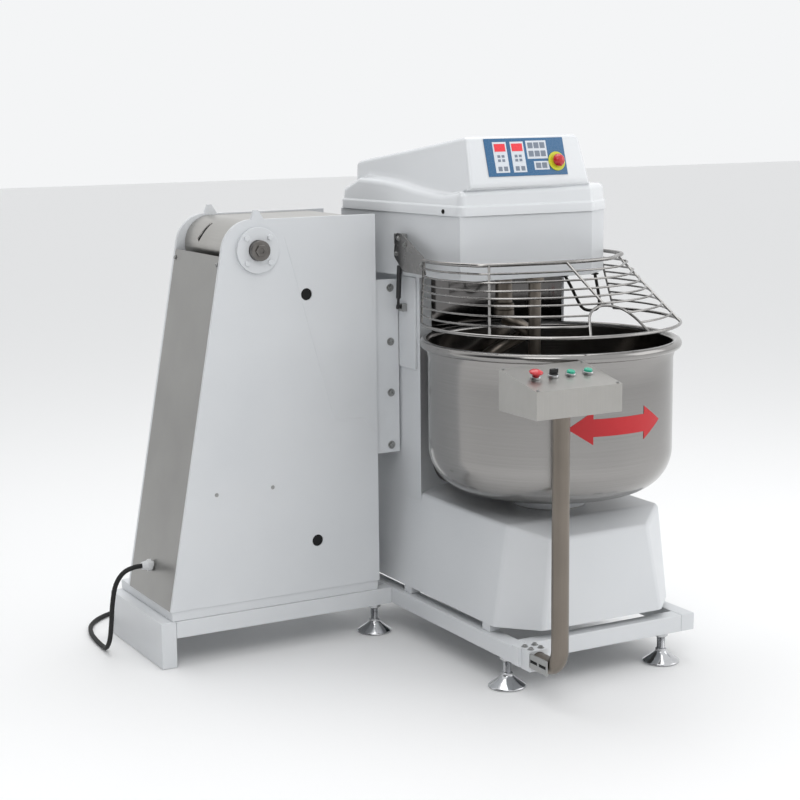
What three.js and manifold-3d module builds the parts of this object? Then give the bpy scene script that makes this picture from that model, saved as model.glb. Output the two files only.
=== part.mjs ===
// Self-tipping spiral dough mixer: a bowl, a spiral hook and a head on a column, carried by an arm that
// swings about a shaft at the top of a plate tower. Millimetres, +Z up, +Y away from the front.
import * as THREE from "three";
import { ConvexGeometry } from "three/addons/geometries/ConvexGeometry.js";
import { mergeVertices } from "three/addons/utils/BufferGeometryUtils.js";
import Module from "manifold-3d";

const wasm = await Module();
wasm.setup();

// ---- driving dimensions ----
const GAP = 0.3; // between pieces that touch

// plan centre of the machine without its lead: the group is moved so that this point is the origin
const PLAN_CENTRE = { x: 10.5, y: -265 };

// floor frame
const RAIL = 50; // width of the steel tubes
const RAIL_TOP = 145;
const RAIL_BOTTOM = 92;
const MIXER_LEFT = 46;
const MIXER_RIGHT = 710;
const FRAME_FRONT = -730;
const REAR_BEAM = 398; // front face of the rear beam
const SKID = { left: -757, width: 50, back: 448 };
const FOOT = { disc: 57, stem: 13 };
const FEET = {
  foot_front_left: [71, -660],
  foot_front_right: [602, -705],
  foot_inner: [-8, 25],
  foot_rear_inner: [-8, 423],
  foot_rear_right: [640, 423],
};

// tower
const PLATE = 12;
const TOWER_DEPTH = 372;
const TOWER_BOTTOM = 176;
const TOWER_TOP = 1362;
const TOWER_WIDTH = 723;
const SLOPE = { rise: 1059, run: 192 }; // of the tower's left edge
const TOWER_CORNER = 100;

// tilt axis, along Y
const TILT = { x: -408, z: 1269 };
const SHAFT = 31;
const DRUM = 88;
const ARM_PLATE = { front: 14, thick: 16, reach: 88, top: 1151, bottom: 592 };
const LUG_HEIGHT = 28;

// bowl
const BOWL = { x: 378, y: -421, rim: 994, radius: 400, wall: 375, floor: 528, corner: 130, sheet: 4 };
const TURNTABLE = { radius: 113, top: 500 };

// mixing tools, both on the machine's middle plane
const HOOK = { x: 366, y: -176, radius: 90, bar: 21, top: 1055, bottom: 588, turns: 1.4 };
const BREAKER = { x: 387, y: -322, radius: 19.5, bottom: 556 };

// lower housing and column
const HOUSING = { bottom: 169, front: -715, back: 300, deck: 474, step: 434, sheet: 5 };
const COLUMN = { left: 96, right: 648, back: 296, concave: 420, sheet: 6 };
const DECK_SHAFT = 30;

// head and hood
const HEAD = { bottom: 1168, top: 1366, back: 300, sheet: 4 };
const HOOD = { lip: 30, step: 1452, front: 1604, back: 1516, sheet: 5 };
const PANEL = { bottom: 1468, lean: 42 };
const HOOD_STOP = { x: 460, z: 1522 };
const BUTTON_HOLE = 11.6;

// belt drive in the head
const MOTOR_Y = 130;
const PULLEY = { spindle: 110, motor: 40, bottom: 1405, height: 34 };
const BOWL_PULLEY = { shaft: 130, motor: 45, bottom: 398, height: 26, motorY: 100 };
const BELT = { thick: 5, clear: 2.2 };

// wire guard
const GUARD = { hingeY: -60, hingeZ: 1287, barZ: 1228, ringZ: 1042, ring: 395, left: 52, right: 706 };
const GUARD_SWEEP = { from: 155, to: 385 }; // degrees round the bowl's centre
const SPRING = { x: 63, topY: -45, topZ: 1238, footY: -30, footZ: 1067, radius: 8 };

// remote control box on its pole
const POLE = { x: 85, y: -915, z: 118, radius: 25, bend: 60, top: 864.7 };
const BOX = { x: 82, width: 280, depth: 190, front: 78, back: 117, z: 865, sheet: 3 };
const BUTTONS = { first: -82, pitch: 57.7 };

// mains lead
const CORD = 15;
const GLAND = { y: 198, z: 281, length: 36 };
const COIL = { x: -350, y: 580, inner: 67.5, outer: 97.5, height: 30 };
const PLUG = { radius: 33, length: 135 };

// ---- finishes ----
const finish = (color, roughness, metalness) => new THREE.MeshStandardMaterial({ color, roughness, metalness });
const WHITE_PAINT = finish(0xe6e8ea, 0.45, 0);
const BRUSHED = finish(0xa6a49f, 0.35, 1);
const POLISHED = finish(0x8d8a84, 0.15, 1);
const CHROME = finish(0xd0d2d4, 0.08, 1);
const DARK_STEEL = finish(0x57554f, 0.4, 1);
const IRON = finish(0x3a4a5a, 0.6, 0.3);
const BLACK_RUBBER = finish(0x151515, 0.8, 0);
const BLACK_PLASTIC = finish(0x1c1c1e, 0.5, 0);
const BLUE_FILM = finish(0x2f6187, 0.35, 0);
const RED_PLASTIC = finish(0xd8323c, 0.3, 0);
const GREEN_PLASTIC = finish(0x35c9a4, 0.3, 0);
const WHITE_PLASTIC = finish(0xe9edf0, 0.35, 0);

// ---- solids ----
// A closed three.js geometry as a manifold-3d solid, its faces turned outwards.
function solid(geometry) {
  const bare = new THREE.BufferGeometry();
  bare.setAttribute("position", geometry.getAttribute("position"));
  bare.setIndex(geometry.index);
  const merged = mergeVertices(bare, 1e-3);
  const vertProperties = merged.attributes.position.array;
  const triVerts = new Uint32Array(merged.index.array);
  const made = new wasm.Manifold(new wasm.Mesh({ numProp: 3, vertProperties, triVerts }));
  if (made.volume() > 0) return made;
  const turned = triVerts.reverse();
  return new wasm.Manifold(new wasm.Mesh({ numProp: 3, vertProperties, triVerts: turned }));
}

function meshOf(name, made, material) {
  const { numProp, vertProperties, triVerts } = made.getMesh();
  const positions = new Float32Array((vertProperties.length / numProp) * 3);
  for (let i = 0; i < positions.length / 3; i++) {
    positions.set(vertProperties.subarray(i * numProp, i * numProp + 3), i * 3);
  }
  const geometry = new THREE.BufferGeometry();
  geometry.setAttribute("position", new THREE.BufferAttribute(positions, 3));
  geometry.setIndex(new THREE.BufferAttribute(new Uint32Array(triVerts), 1));
  geometry.computeVertexNormals();
  const mesh = new THREE.Mesh(geometry, material);
  mesh.name = name;
  return mesh;
}

const join = (...solids) => solids.reduce((all, one) => all.add(one));
const cut = (body, ...tools) => tools.reduce((rest, tool) => rest.subtract(tool), body);

function block(x0, x1, y0, y1, z0, z1) {
  const box = new THREE.BoxGeometry(x1 - x0, y1 - y0, z1 - z0);
  return solid(box.translate((x0 + x1) / 2, (y0 + y1) / 2, (z0 + z1) / 2));
}

// A round bar between two points; a second radius makes it a cone.
function bar(from, to, radius, sides = 24, endRadius = radius) {
  const a = new THREE.Vector3(...from);
  const b = new THREE.Vector3(...to);
  const along = b.clone().sub(a);
  const cylinder = new THREE.CylinderGeometry(endRadius, radius, along.length(), sides);
  const turn = new THREE.Quaternion().setFromUnitVectors(new THREE.Vector3(0, 1, 0), along.clone().normalize());
  cylinder.applyQuaternion(turn);
  const middle = a.add(b).multiplyScalar(0.5);
  return solid(cylinder.translate(middle.x, middle.y, middle.z));
}

const upright = (x, y, z0, z1, radius, sides = 24) => bar([x, y, z0], [x, y, z1], radius, sides);
const acrossY = (x, z, y0, y1, radius, sides = 28) => bar([x, y0, z], [x, y1, z], radius, sides);

// A profile of [radius, z] points turned about an upright axis.
function turned(x, y, profile, segments = 40) {
  const points = profile.map(([r, z]) => new THREE.Vector2(r, z));
  const lathe = new THREE.LatheGeometry(points, segments);
  return solid(lathe.rotateX(Math.PI / 2).translate(x, y, 0));
}

const outline = (points) => new THREE.Shape(points.map(([u, v]) => new THREE.Vector2(u, v)));

function extruded(shape, depth, curveSegments = 12) {
  return new THREE.ExtrudeGeometry(shape, { depth, bevelEnabled: false, curveSegments });
}

// Plates: an outline in two of the axes, given its thickness along the third.
function plateXZ(shape, y0, y1) {
  return solid(extruded(shape, y1 - y0).rotateX(Math.PI / 2).translate(0, y1, 0));
}

function slabXY(shape, z0, z1, curveSegments = 12) {
  return solid(extruded(shape, z1 - z0, curveSegments).translate(0, 0, z0));
}

function plateYZ(shape, x0, x1) {
  const axes = new THREE.Matrix4().makeBasis(
    new THREE.Vector3(0, 1, 0),
    new THREE.Vector3(0, 0, 1),
    new THREE.Vector3(1, 0, 0),
  );
  return solid(extruded(shape, x1 - x0).applyMatrix4(axes).translate(x0, 0, 0));
}

// A round section carried along a curve.
function tube(curve, radius, steps, sides = 8) {
  const section = new THREE.Shape();
  for (let i = 0; i < sides; i++) {
    const angle = (i / sides) * 2 * Math.PI;
    const corner = [radius * Math.cos(angle), radius * Math.sin(angle)];
    if (i === 0) section.moveTo(...corner);
    else section.lineTo(...corner);
  }
  section.closePath();
  return solid(new THREE.ExtrudeGeometry(section, { extrudePath: curve, steps, bevelEnabled: false }));
}

const smoothThrough = (points) => new THREE.CatmullRomCurve3(points.map((p) => new THREE.Vector3(...p)));

const hull = (points) => solid(new ConvexGeometry(points.map((p) => new THREE.Vector3(...p))));

// The path of a belt round two pulleys, as a closed shape.
function loopShape(a, b, grow) {
  const span = Math.hypot(b.u - a.u, b.v - a.v);
  const heading = Math.atan2(b.v - a.v, b.u - a.u);
  const lean = Math.acos((a.r - b.r) / span);
  const shape = new THREE.Shape();
  shape.absarc(a.u, a.v, a.r + grow, heading + lean, heading - lean + 2 * Math.PI, false);
  shape.absarc(b.u, b.v, b.r + grow, heading - lean, heading + lean, false);
  shape.closePath();
  return shape;
}

function belt(a, b, z0, z1) {
  const outer = slabXY(loopShape(a, b, BELT.thick + BELT.clear), z0, z1, 10);
  const inner = slabXY(loopShape(a, b, BELT.clear), z0 - 1, z1 + 1, 10);
  return cut(outer, inner);
}

// ---- floor frame ----
function floorFrame(add) {
  const skidRight = SKID.left + SKID.width;
  const tube = (name, x0, x1, y0, y1) => add(name, block(x0, x1, y0, y1, RAIL_BOTTOM, RAIL_TOP), WHITE_PAINT);
  add("left_skid", block(SKID.left, skidRight, 0, SKID.back, 0, RAIL_TOP), WHITE_PAINT);
  tube("tower_beam", skidRight + GAP, MIXER_LEFT - GAP, 0, RAIL);
  tube("rear_beam", skidRight + GAP, MIXER_RIGHT, REAR_BEAM, REAR_BEAM + RAIL);
  tube("left_rail", MIXER_LEFT, MIXER_LEFT + RAIL, FRAME_FRONT, REAR_BEAM - GAP);
  tube("right_rail", MIXER_RIGHT - RAIL, MIXER_RIGHT, FRAME_FRONT, REAR_BEAM - GAP);
  tube("front_rail", MIXER_LEFT + RAIL + GAP, MIXER_RIGHT - RAIL - GAP, FRAME_FRONT, FRAME_FRONT + RAIL);
}

function levellingFoot(x, y) {
  const discEdge = 6;
  const coneTop = 34;
  const neck = 18;
  return turned(x, y, [
    [0, 0],
    [FOOT.disc, 0],
    [FOOT.disc, discEdge],
    [neck, coneTop],
    [FOOT.stem, coneTop + 8],
    [FOOT.stem, RAIL_BOTTOM - GAP],
    [0, RAIL_BOTTOM - GAP],
  ], 20);
}

function levellingFeet(add) {
  for (const [name, [x, y]] of Object.entries(FEET)) add(name, levellingFoot(x, y), CHROME);
}

// ---- tower ----
// The tower's side outline, with a rounded corner between its sloped edge and its level top.
function towerOutline() {
  const length = Math.hypot(SLOPE.rise, SLOPE.run);
  const inward = { x: SLOPE.rise / length, z: -SLOPE.run / length };
  const centreZ = TOWER_TOP - TOWER_CORNER;
  const reach = TOWER_CORNER - (centreZ - TOWER_BOTTOM) * inward.z;
  const centreX = -TOWER_WIDTH + reach / inward.x;
  const lugHalf = 26;
  const shape = new THREE.Shape();
  shape.moveTo(-TOWER_WIDTH, TOWER_BOTTOM);
  shape.lineTo(0, TOWER_BOTTOM);
  shape.lineTo(0, TOWER_TOP);
  shape.lineTo(TILT.x + lugHalf, TOWER_TOP);
  shape.lineTo(TILT.x + 8, TOWER_TOP + LUG_HEIGHT);
  shape.lineTo(TILT.x - 6, TOWER_TOP + LUG_HEIGHT);
  shape.lineTo(TILT.x - lugHalf + 10, TOWER_TOP);
  shape.absarc(centreX, centreZ, TOWER_CORNER, Math.PI / 2, Math.atan2(-inward.z, -inward.x), false);
  shape.closePath();
  return shape;
}

function towerPlates(add) {
  const clearance = 4;
  const front = plateXZ(towerOutline(), 0, PLATE);
  const rear = plateXZ(towerOutline(), TOWER_DEPTH - PLATE, TOWER_DEPTH);
  const throughHole = (x, z, radius) => acrossY(x, z, -1, TOWER_DEPTH + 1, radius);
  const shaftHole = throughHole(TILT.x, TILT.z, SHAFT + clearance);
  const accessHoles = join(throughHole(-243, 1124, 19), throughHole(-220, 338, 19));
  add("tower_front_plate", cut(front, shaftHole, accessHoles), WHITE_PAINT);
  add("tower_rear_plate", cut(rear, shaftHole), WHITE_PAINT);
  const foundation = block(-TOWER_WIDTH + 4, -4, 4, SKID.back, RAIL_TOP + GAP, TOWER_BOTTOM - GAP);
  add("tower_base", foundation, WHITE_PAINT);
}

// Distance of the tower's sloped edge from x = 0 at a height.
const slopeX = (z) => -TOWER_WIDTH + ((z - TOWER_BOTTOM) * SLOPE.run) / SLOPE.rise;

function towerCover(add) {
  const sheet = 4;
  const bottom = TOWER_BOTTOM + GAP;
  const top = 1254;
  const shape = outline([
    [slopeX(bottom), bottom],
    [slopeX(bottom) + sheet, bottom],
    [slopeX(top) + sheet, top],
    [slopeX(top), top],
  ]);
  const panel = plateXZ(shape, PLATE + GAP, TOWER_DEPTH - PLATE - GAP);
  const glandHole = bar([slopeX(GLAND.z) - 20, GLAND.y, GLAND.z], [slopeX(GLAND.z) + 20, GLAND.y, GLAND.z], 12.5);
  add("tower_back_cover", cut(panel, glandHole), BRUSHED);
}

function bearingFlange(face, outward) {
  const bore = SHAFT + 0.5;
  const thick = 12;
  const far = face + outward * thick;
  const flange = acrossY(TILT.x, TILT.z, Math.min(face, far), Math.max(face, far), 70, 40);
  const bolts = [45, 135, 225, 315].map((degrees) => {
    const angle = (degrees * Math.PI) / 180;
    const x = TILT.x + 54 * Math.cos(angle);
    const z = TILT.z + 54 * Math.sin(angle);
    const tip = far + outward * 7;
    return acrossY(x, z, Math.min(far - outward, tip), Math.max(far - outward, tip), 9, 6);
  });
  return cut(join(flange, ...bolts), acrossY(TILT.x, TILT.z, face - 30, face + 30, bore));
}

function towerFittings(add) {
  add("bearing_flange_front", bearingFlange(-GAP, -1), WHITE_PAINT);
  const rearFlange = acrossY(TILT.x, TILT.z, TOWER_DEPTH + GAP, TOWER_DEPTH + 12, 70, 40);
  add("motor_flange", rearFlange, WHITE_PAINT);
  const motorBody = acrossY(TILT.x, TILT.z, 205, TOWER_DEPTH - PLATE - GAP, 72);
  add("tilt_gearmotor", motorBody, IRON);
  const cabinet = block(-560, -160, 150, TOWER_DEPTH - PLATE - GAP, 240, 640);
  add("electrical_cabinet", cabinet, WHITE_PAINT);
}

// ---- tilt arm, turning with the mixer ----
function armOutline() {
  const hub = 80;
  const shape = new THREE.Shape();
  shape.moveTo(-20, ARM_PLATE.bottom);
  shape.lineTo(ARM_PLATE.reach, ARM_PLATE.bottom);
  shape.lineTo(ARM_PLATE.reach, ARM_PLATE.top);
  shape.lineTo(-30, ARM_PLATE.top);
  shape.lineTo(-30, ARM_PLATE.top + 50);
  shape.absarc(TILT.x, TILT.z, hub, Math.PI / 2, (215 * Math.PI) / 180, false);
  shape.closePath();
  return shape;
}

function tiltArm(add) {
  const rearFace = TOWER_DEPTH - ARM_PLATE.front;
  const backOfFront = ARM_PLATE.front + ARM_PLATE.thick;
  const frontOfRear = rearFace - ARM_PLATE.thick;
  const front = cut(
    plateXZ(armOutline(), ARM_PLATE.front, backOfFront),
    acrossY(TILT.x, TILT.z, 0, 60, SHAFT + GAP),
  );
  const rear = cut(
    plateXZ(armOutline(), frontOfRear, rearFace),
    acrossY(TILT.x, TILT.z, 300, TOWER_DEPTH, 73),
  );
  const web = block(-82, -70, backOfFront - 1, frontOfRear + 1, 680, 1160);
  add("tilt_arm", join(front, rear, web), WHITE_PAINT);
  const shaft = acrossY(TILT.x, TILT.z, -30, 180, SHAFT);
  const coupling = acrossY(TILT.x, TILT.z, 180, 204, 60);
  add("tilt_shaft", join(shaft, coupling), DARK_STEEL);
}

// The sheet that wraps the tilt axis on the left and runs level above the arm.
function armCover(add) {
  const sheet = 3;
  const end = -60;
  const low = (196 * Math.PI) / 180;
  const shape = new THREE.Shape();
  shape.moveTo(end, TILT.z + DRUM - sheet);
  shape.lineTo(end, TILT.z + DRUM);
  shape.absarc(TILT.x, TILT.z, DRUM, Math.PI / 2, low, false);
  shape.absarc(TILT.x, TILT.z, DRUM - sheet, low, Math.PI / 2, true);
  shape.closePath();
  const wrap = plateXZ(shape, PLATE + 2, TOWER_DEPTH - PLATE - 2);
  const slotTop = [TILT.x - 0.57 * DRUM, 222, TILT.z + 0.82 * DRUM];
  const slotBottom = [TILT.x - 0.98 * DRUM, 252, TILT.z + 0.2 * DRUM];
  const slot = tube(smoothThrough([slotTop, [TILT.x - 0.87 * DRUM, 232, TILT.z + 0.5 * DRUM], slotBottom]), 9, 3, 6);
  add("arm_cover", cut(wrap, slot), BRUSHED);
}

// ---- lower housing ----
// The housing's outer form, grown outwards by a margin.
function housingForm(grow, bottom) {
  const deck = HOUSING.deck + grow;
  const step = HOUSING.step + grow;
  const left = 58 - grow;
  const right = 698 + grow;
  const taper = 42;
  const back = HOUSING.back + grow;
  const front = HOUSING.front - grow;
  return hull([
    [left, back, bottom],
    [left, -606 - grow * 0.4, bottom],
    [162 - grow * 0.4, front, bottom],
    [594 + grow * 0.4, front, bottom],
    [right, -606 - grow * 0.4, bottom],
    [right, back, bottom],
    [left + taper, back, deck],
    [left + taper, -612 - grow * 0.4, deck],
    [203 - grow * 0.4, front + 21, step],
    [553 + grow * 0.4, front + 21, step],
    [right - taper, -612 - grow * 0.4, deck],
    [right - taper, back, deck],
  ]);
}

function lowerHousing(add) {
  const shell = cut(
    housingForm(0, HOUSING.bottom),
    housingForm(-HOUSING.sheet, HOUSING.bottom - 1),
    upright(BOWL.x, BOWL.y, HOUSING.deck - 30, HOUSING.deck + 30, DECK_SHAFT + 3),
  );
  const pad = (x, y) => block(x, x + 38, y - 22, y + 22, RAIL_TOP + GAP, HOUSING.bottom + 8);
  const pads = join(pad(58, -560), pad(58, -80), pad(660, -560), pad(660, -80));
  add("base_housing", join(shell, pads), WHITE_PAINT);
}

// ---- column ----
// Plan of the column, whose front is hollowed round the bowl; the inset gives the space inside its sheet.
function columnOutline(inset) {
  const radius = COLUMN.concave + inset;
  const x0 = COLUMN.left + inset;
  const x1 = COLUMN.right - inset;
  const reachY = (x) => Math.sqrt(radius ** 2 - (x - BOWL.x) ** 2);
  const shape = new THREE.Shape();
  shape.moveTo(x1, COLUMN.back - inset);
  shape.lineTo(x0, COLUMN.back - inset);
  shape.absarc(BOWL.x, BOWL.y, radius, Math.atan2(reachY(x0), x0 - BOWL.x), Math.atan2(reachY(x1), x1 - BOWL.x), true);
  shape.closePath();
  return shape;
}

function column(add) {
  const top = HEAD.bottom - GAP;
  const body = slabXY(columnOutline(0), 380, top, 16);
  const room = slabXY(columnOutline(COLUMN.sheet), 379, top - COLUMN.sheet, 16);
  const wireHole = upright(BOWL.x, 245, top - 20, top + 5, 25);
  const frontOfRear = TOWER_DEPTH - ARM_PLATE.front - ARM_PLATE.thick;
  const inset = 8;
  const lug = block(
    -60,
    COLUMN.left + 1,
    ARM_PLATE.front + ARM_PLATE.thick + GAP,
    ARM_PLATE.front + ARM_PLATE.thick + 60,
    ARM_PLATE.bottom + inset,
    ARM_PLATE.top - inset,
  );
  const rearLug = block(-60, COLUMN.left + 1, COLUMN.back - 60, frontOfRear - GAP, 640, 1100);
  const clearOfHousing = housingForm(GAP, HOUSING.bottom - 1);
  add("column", cut(join(body, lug, rearLug), room, wireHole, clearOfHousing), WHITE_PAINT);
}

function columnCovers(add) {
  const sheet = 3;
  const outer = COLUMN.concave - GAP;
  const from = (120 * Math.PI) / 180;
  const to = (51 * Math.PI) / 180;
  const shape = new THREE.Shape();
  shape.absarc(BOWL.x, BOWL.y, outer, from, to, true);
  shape.absarc(BOWL.x, BOWL.y, outer - sheet, to, from, false);
  shape.closePath();
  add("column_front_cover", slabXY(shape, HOUSING.deck + 2, HEAD.bottom - 4, 16), POLISHED);
  const side = block(COLUMN.left - 8, COLUMN.left - GAP, -92, ARM_PLATE.front - 2, 872, HEAD.bottom - 4);
  add("column_side_cover", side, WHITE_PAINT);
}

// ---- head and hood ----
// Plan corners of the head, moved outwards by a margin: the left side is one flat panel, the right front
// corner is cut off.
function headPlan(grow) {
  return [
    [34 - grow, HEAD.back + grow],
    [108 - grow, -338 - grow],
    [580 + grow * 0.4, -352 - grow],
    [682 + grow, -272 - grow * 0.4],
    [694 + grow, HEAD.back + grow],
  ];
}

function headShell(add) {
  const outer = slabXY(outline(headPlan(0)), HEAD.bottom, HEAD.top);
  const room = slabXY(outline(headPlan(-HEAD.sheet)), HEAD.bottom + 6, HEAD.top + 1);
  const spindleHole = upright(HOOK.x, HOOK.y, HEAD.bottom - 5, HEAD.bottom + 10, 34);
  const wireHole = upright(BOWL.x, 245, HEAD.bottom - 5, HEAD.bottom + 10, 25);
  add("head_shell", cut(outer, room, spindleHole, wireHole), WHITE_PAINT);
}

const panelY = (z) => -345 + ((z - PANEL.bottom) * PANEL.lean) / (HOOD.front - PANEL.bottom);

// The hood is a low skirt with a tapered cowl on it; inset shrinks both for the hollow inside.
function hoodForm(inset, bottom) {
  const lipTop = HEAD.top + HOOD.lip;
  const lip = slabXY(outline(headPlan(6 - inset)), bottom, lipTop - inset);
  const ring = (grow, z) => headPlan(grow - inset).map(([x, y]) => [x, y, z - inset]);
  const stepBack = (points) => points.map(([x, y, z]) => [x, y, y > 0 ? z - 14 : z]);
  const skirt = hull([...ring(2, lipTop), ...stepBack(ring(-2, HOOD.step - 14)), ...ring(-18, HOOD.step)]);
  const cowlEnd = 284 - inset;
  const foot = lipTop - 10 - inset;
  const cowl = hull([
    [139 + inset, panelY(PANEL.bottom) + inset, PANEL.bottom - 10],
    [572 - inset, panelY(PANEL.bottom) + inset, PANEL.bottom - 10],
    [150 + inset, panelY(HOOD.front) + inset, HOOD.front - inset],
    [558 - inset, panelY(HOOD.front) + inset, HOOD.front - inset],
    [82 + inset, cowlEnd, HOOD.back - inset],
    [626 - inset, cowlEnd, HOOD.back - inset],
    [78 + inset, cowlEnd, foot],
    [630 - inset, cowlEnd, foot],
    [139 + inset, panelY(PANEL.bottom) + inset + 30, foot],
    [572 - inset, panelY(PANEL.bottom) + inset + 30, foot],
  ]);
  return join(lip, skirt, cowl);
}

function hood(add) {
  const shell = cut(hoodForm(0, HEAD.top + GAP), hoodForm(HOOD.sheet, HEAD.top - 1));
  const { x, z } = HOOD_STOP;
  const y = panelY(z);
  const lean = Math.atan2(PANEL.lean, HOOD.front - PANEL.bottom);
  const reach = [30 * Math.cos(lean), 30 * Math.sin(lean)];
  const stopHole = bar([x, y - reach[0], z + reach[1]], [x, y + reach[0], z - reach[1]], BUTTON_HOLE, 16);
  add("hood", cut(shell, stopHole), WHITE_PAINT);
}

// The control film lies on the hood's sloped panel, so it is made in that panel's own plane.
function controlPanel(machine, mesh) {
  const panel = new THREE.Group();
  const middleZ = 1538;
  const lean = Math.atan2(PANEL.lean, HOOD.front - PANEL.bottom);
  panel.position.set(352, panelY(middleZ), middleZ);
  panel.rotation.x = Math.PI / 2 - lean;
  machine.add(panel);
  const stop = { x: HOOD_STOP.x - panel.position.x, y: (HOOD_STOP.z - middleZ) / Math.cos(lean) };
  const film = cut(block(-143, 143, -59, 59, GAP, 2.2), upright(stop.x, stop.y, -1, 4, BUTTON_HOLE));
  const button = mushroom(20, 12, 20);
  panel.add(mesh("control_fascia", film, BLUE_FILM));
  const pushed = mesh("hood_emergency_stop", button, RED_PLASTIC);
  pushed.position.set(stop.x, stop.y, 0);
  panel.add(pushed);
}

// A mushroom button: a stem that reaches into the panel, then a domed head standing clear of it.
function mushroom(radius, clear, height) {
  const stem = 9;
  const inside = -14;
  return turned(0, 0, [
    [0, inside],
    [stem, inside],
    [stem, clear],
    [radius * 0.8, clear],
    [radius, clear + 4],
    [radius * 0.92, clear + height * 0.55],
    [radius * 0.6, clear + height * 0.85],
    [0, clear + height],
  ], 20);
}

// ---- drives ----
function headDrive(add) {
  const floor = HEAD.bottom + 6 + GAP;
  const bodyTop = PULLEY.bottom - 12;
  const body = upright(BOWL.x, MOTOR_Y, floor, bodyTop, 95);
  const terminalBox = block(BOWL.x - 160, BOWL.x - 80, MOTOR_Y - 50, MOTOR_Y + 50, 1250, 1340);
  add("main_motor", join(body, terminalBox), IRON);
  const pulley = { bottom: PULLEY.bottom, top: PULLEY.bottom + PULLEY.height };
  const motorPulley = upright(BOWL.x, MOTOR_Y, pulley.bottom, pulley.top, PULLEY.motor);
  const motorShaft = upright(BOWL.x, MOTOR_Y, bodyTop + GAP, pulley.bottom + 1, 14);
  add("motor_pulley", join(motorPulley, motorShaft), DARK_STEEL);
  const a = { u: BOWL.x, v: MOTOR_Y, r: PULLEY.motor };
  const b = { u: HOOK.x, v: HOOK.y, r: PULLEY.spindle };
  add("drive_belt", belt(a, b, pulley.bottom + 3, pulley.top - 3), BLACK_RUBBER);
  const cartridge = cut(
    join(upright(HOOK.x, HOOK.y, floor, floor + 14, 90), upright(HOOK.x, HOOK.y, floor + 13, 1370, 58)),
    upright(HOOK.x, HOOK.y, floor - 10, 1400, 28),
  );
  add("spindle_bearing_housing", cartridge, IRON);
  const spindle = join(
    upright(HOOK.x, HOOK.y, HOOK.top + 20, pulley.bottom + 1, 27),
    upright(HOOK.x, HOOK.y, pulley.bottom, pulley.top, PULLEY.spindle, 40),
    upright(HOOK.x, HOOK.y, HOOK.top + GAP, HOOK.top + 21, 33),
  );
  add("spindle", spindle, POLISHED);
}

function bowlDrive(add) {
  const top = BOWL_PULLEY.bottom + BOWL_PULLEY.height;
  const body = upright(BOWL.x, BOWL_PULLEY.motorY, 190, BOWL_PULLEY.bottom - 10, 80);
  const bridge = block(0, 760, BOWL_PULLEY.motorY - 30, BOWL_PULLEY.motorY + 30, 178, 191);
  const insideHousing = housingForm(-HOUSING.sheet - GAP, HOUSING.bottom);
  add("bowl_motor", join(body, bridge).intersect(insideHousing), IRON);
  const motorPulley = upright(BOWL.x, BOWL_PULLEY.motorY, BOWL_PULLEY.bottom, top, BOWL_PULLEY.motor);
  const motorShaft = upright(BOWL.x, BOWL_PULLEY.motorY, BOWL_PULLEY.bottom - 10 + GAP, top - 5, 12);
  add("bowl_motor_pulley", join(motorPulley, motorShaft), DARK_STEEL);
  const a = { u: BOWL.x, v: BOWL_PULLEY.motorY, r: BOWL_PULLEY.motor };
  const b = { u: BOWL.x, v: BOWL.y, r: BOWL_PULLEY.shaft };
  add("bowl_belt", belt(a, b, BOWL_PULLEY.bottom + 3, top - 3), BLACK_RUBBER);
}

// ---- bowl ----
function bowl(add) {
  const { radius, wall, floor, corner, rim, sheet } = BOWL;
  const roll = (radius - wall + sheet) / 2;
  const rollCentre = { r: radius - roll, z: rim - roll };
  const arc = (centreR, centreZ, r, from, to, count) => {
    const points = [];
    for (let i = 0; i <= count; i++) {
      const angle = ((from + ((to - from) * i) / count) * Math.PI) / 180;
      points.push([centreR + r * Math.cos(angle), centreZ + r * Math.sin(angle)]);
    }
    return points;
  };
  const bend = { r: wall - corner, z: floor + corner };
  const profile = [
    [0, floor],
    ...arc(bend.r, bend.z, corner, -90, 0, 5),
    ...arc(rollCentre.r, rollCentre.z, roll, -100, 180, 5),
    ...arc(bend.r, bend.z, corner - sheet, 0, -90, 5),
    [0, floor + sheet],
  ];
  add("bowl", turned(BOWL.x, BOWL.y, profile, 40), POLISHED);
}

function turntable(add) {
  const low = HOUSING.deck + 0.6;
  const pulleyTop = BOWL_PULLEY.bottom + BOWL_PULLEY.height;
  const profile = [
    [0, BOWL_PULLEY.bottom],
    [BOWL_PULLEY.shaft, BOWL_PULLEY.bottom],
    [BOWL_PULLEY.shaft, pulleyTop],
    [DECK_SHAFT, pulleyTop],
    [DECK_SHAFT, low],
    [TURNTABLE.radius, low],
    [TURNTABLE.radius, TURNTABLE.top],
    [TURNTABLE.radius - 18, TURNTABLE.top],
    [TURNTABLE.radius - 18, BOWL.floor - GAP],
    [0, BOWL.floor - GAP],
  ];
  add("bowl_turntable", turned(BOWL.x, BOWL.y, profile, 32), BRUSHED);
}

// ---- mixing tools ----
// The hook's bar leaves the spindle flange, swings out to its working radius and winds down the bowl.
function spiralHook(add) {
  const points = [];
  const count = 26;
  const start = -60;
  const drop = 25;
  for (let i = 0; i <= count; i++) {
    const share = i / count;
    const angle = ((start + 360 * HOOK.turns * share) * Math.PI) / 180;
    const swing = Math.min(1, share / 0.16);
    const tuck = (42 * Math.max(0, share - 0.7)) / 0.3;
    const reach = (HOOK.radius - tuck) * Math.sin((swing * Math.PI) / 2);
    const z = HOOK.top - drop + (HOOK.bottom - HOOK.top + drop) * share;
    points.push([HOOK.x + reach * Math.cos(angle), HOOK.y + reach * Math.sin(angle), z]);
  }
  const flange = upright(HOOK.x, HOOK.y, HOOK.top - 20, HOOK.top, 33);
  add("spiral_hook", join(flange, tube(smoothThrough(points), HOOK.bar, 36, 9)), POLISHED);
}

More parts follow.
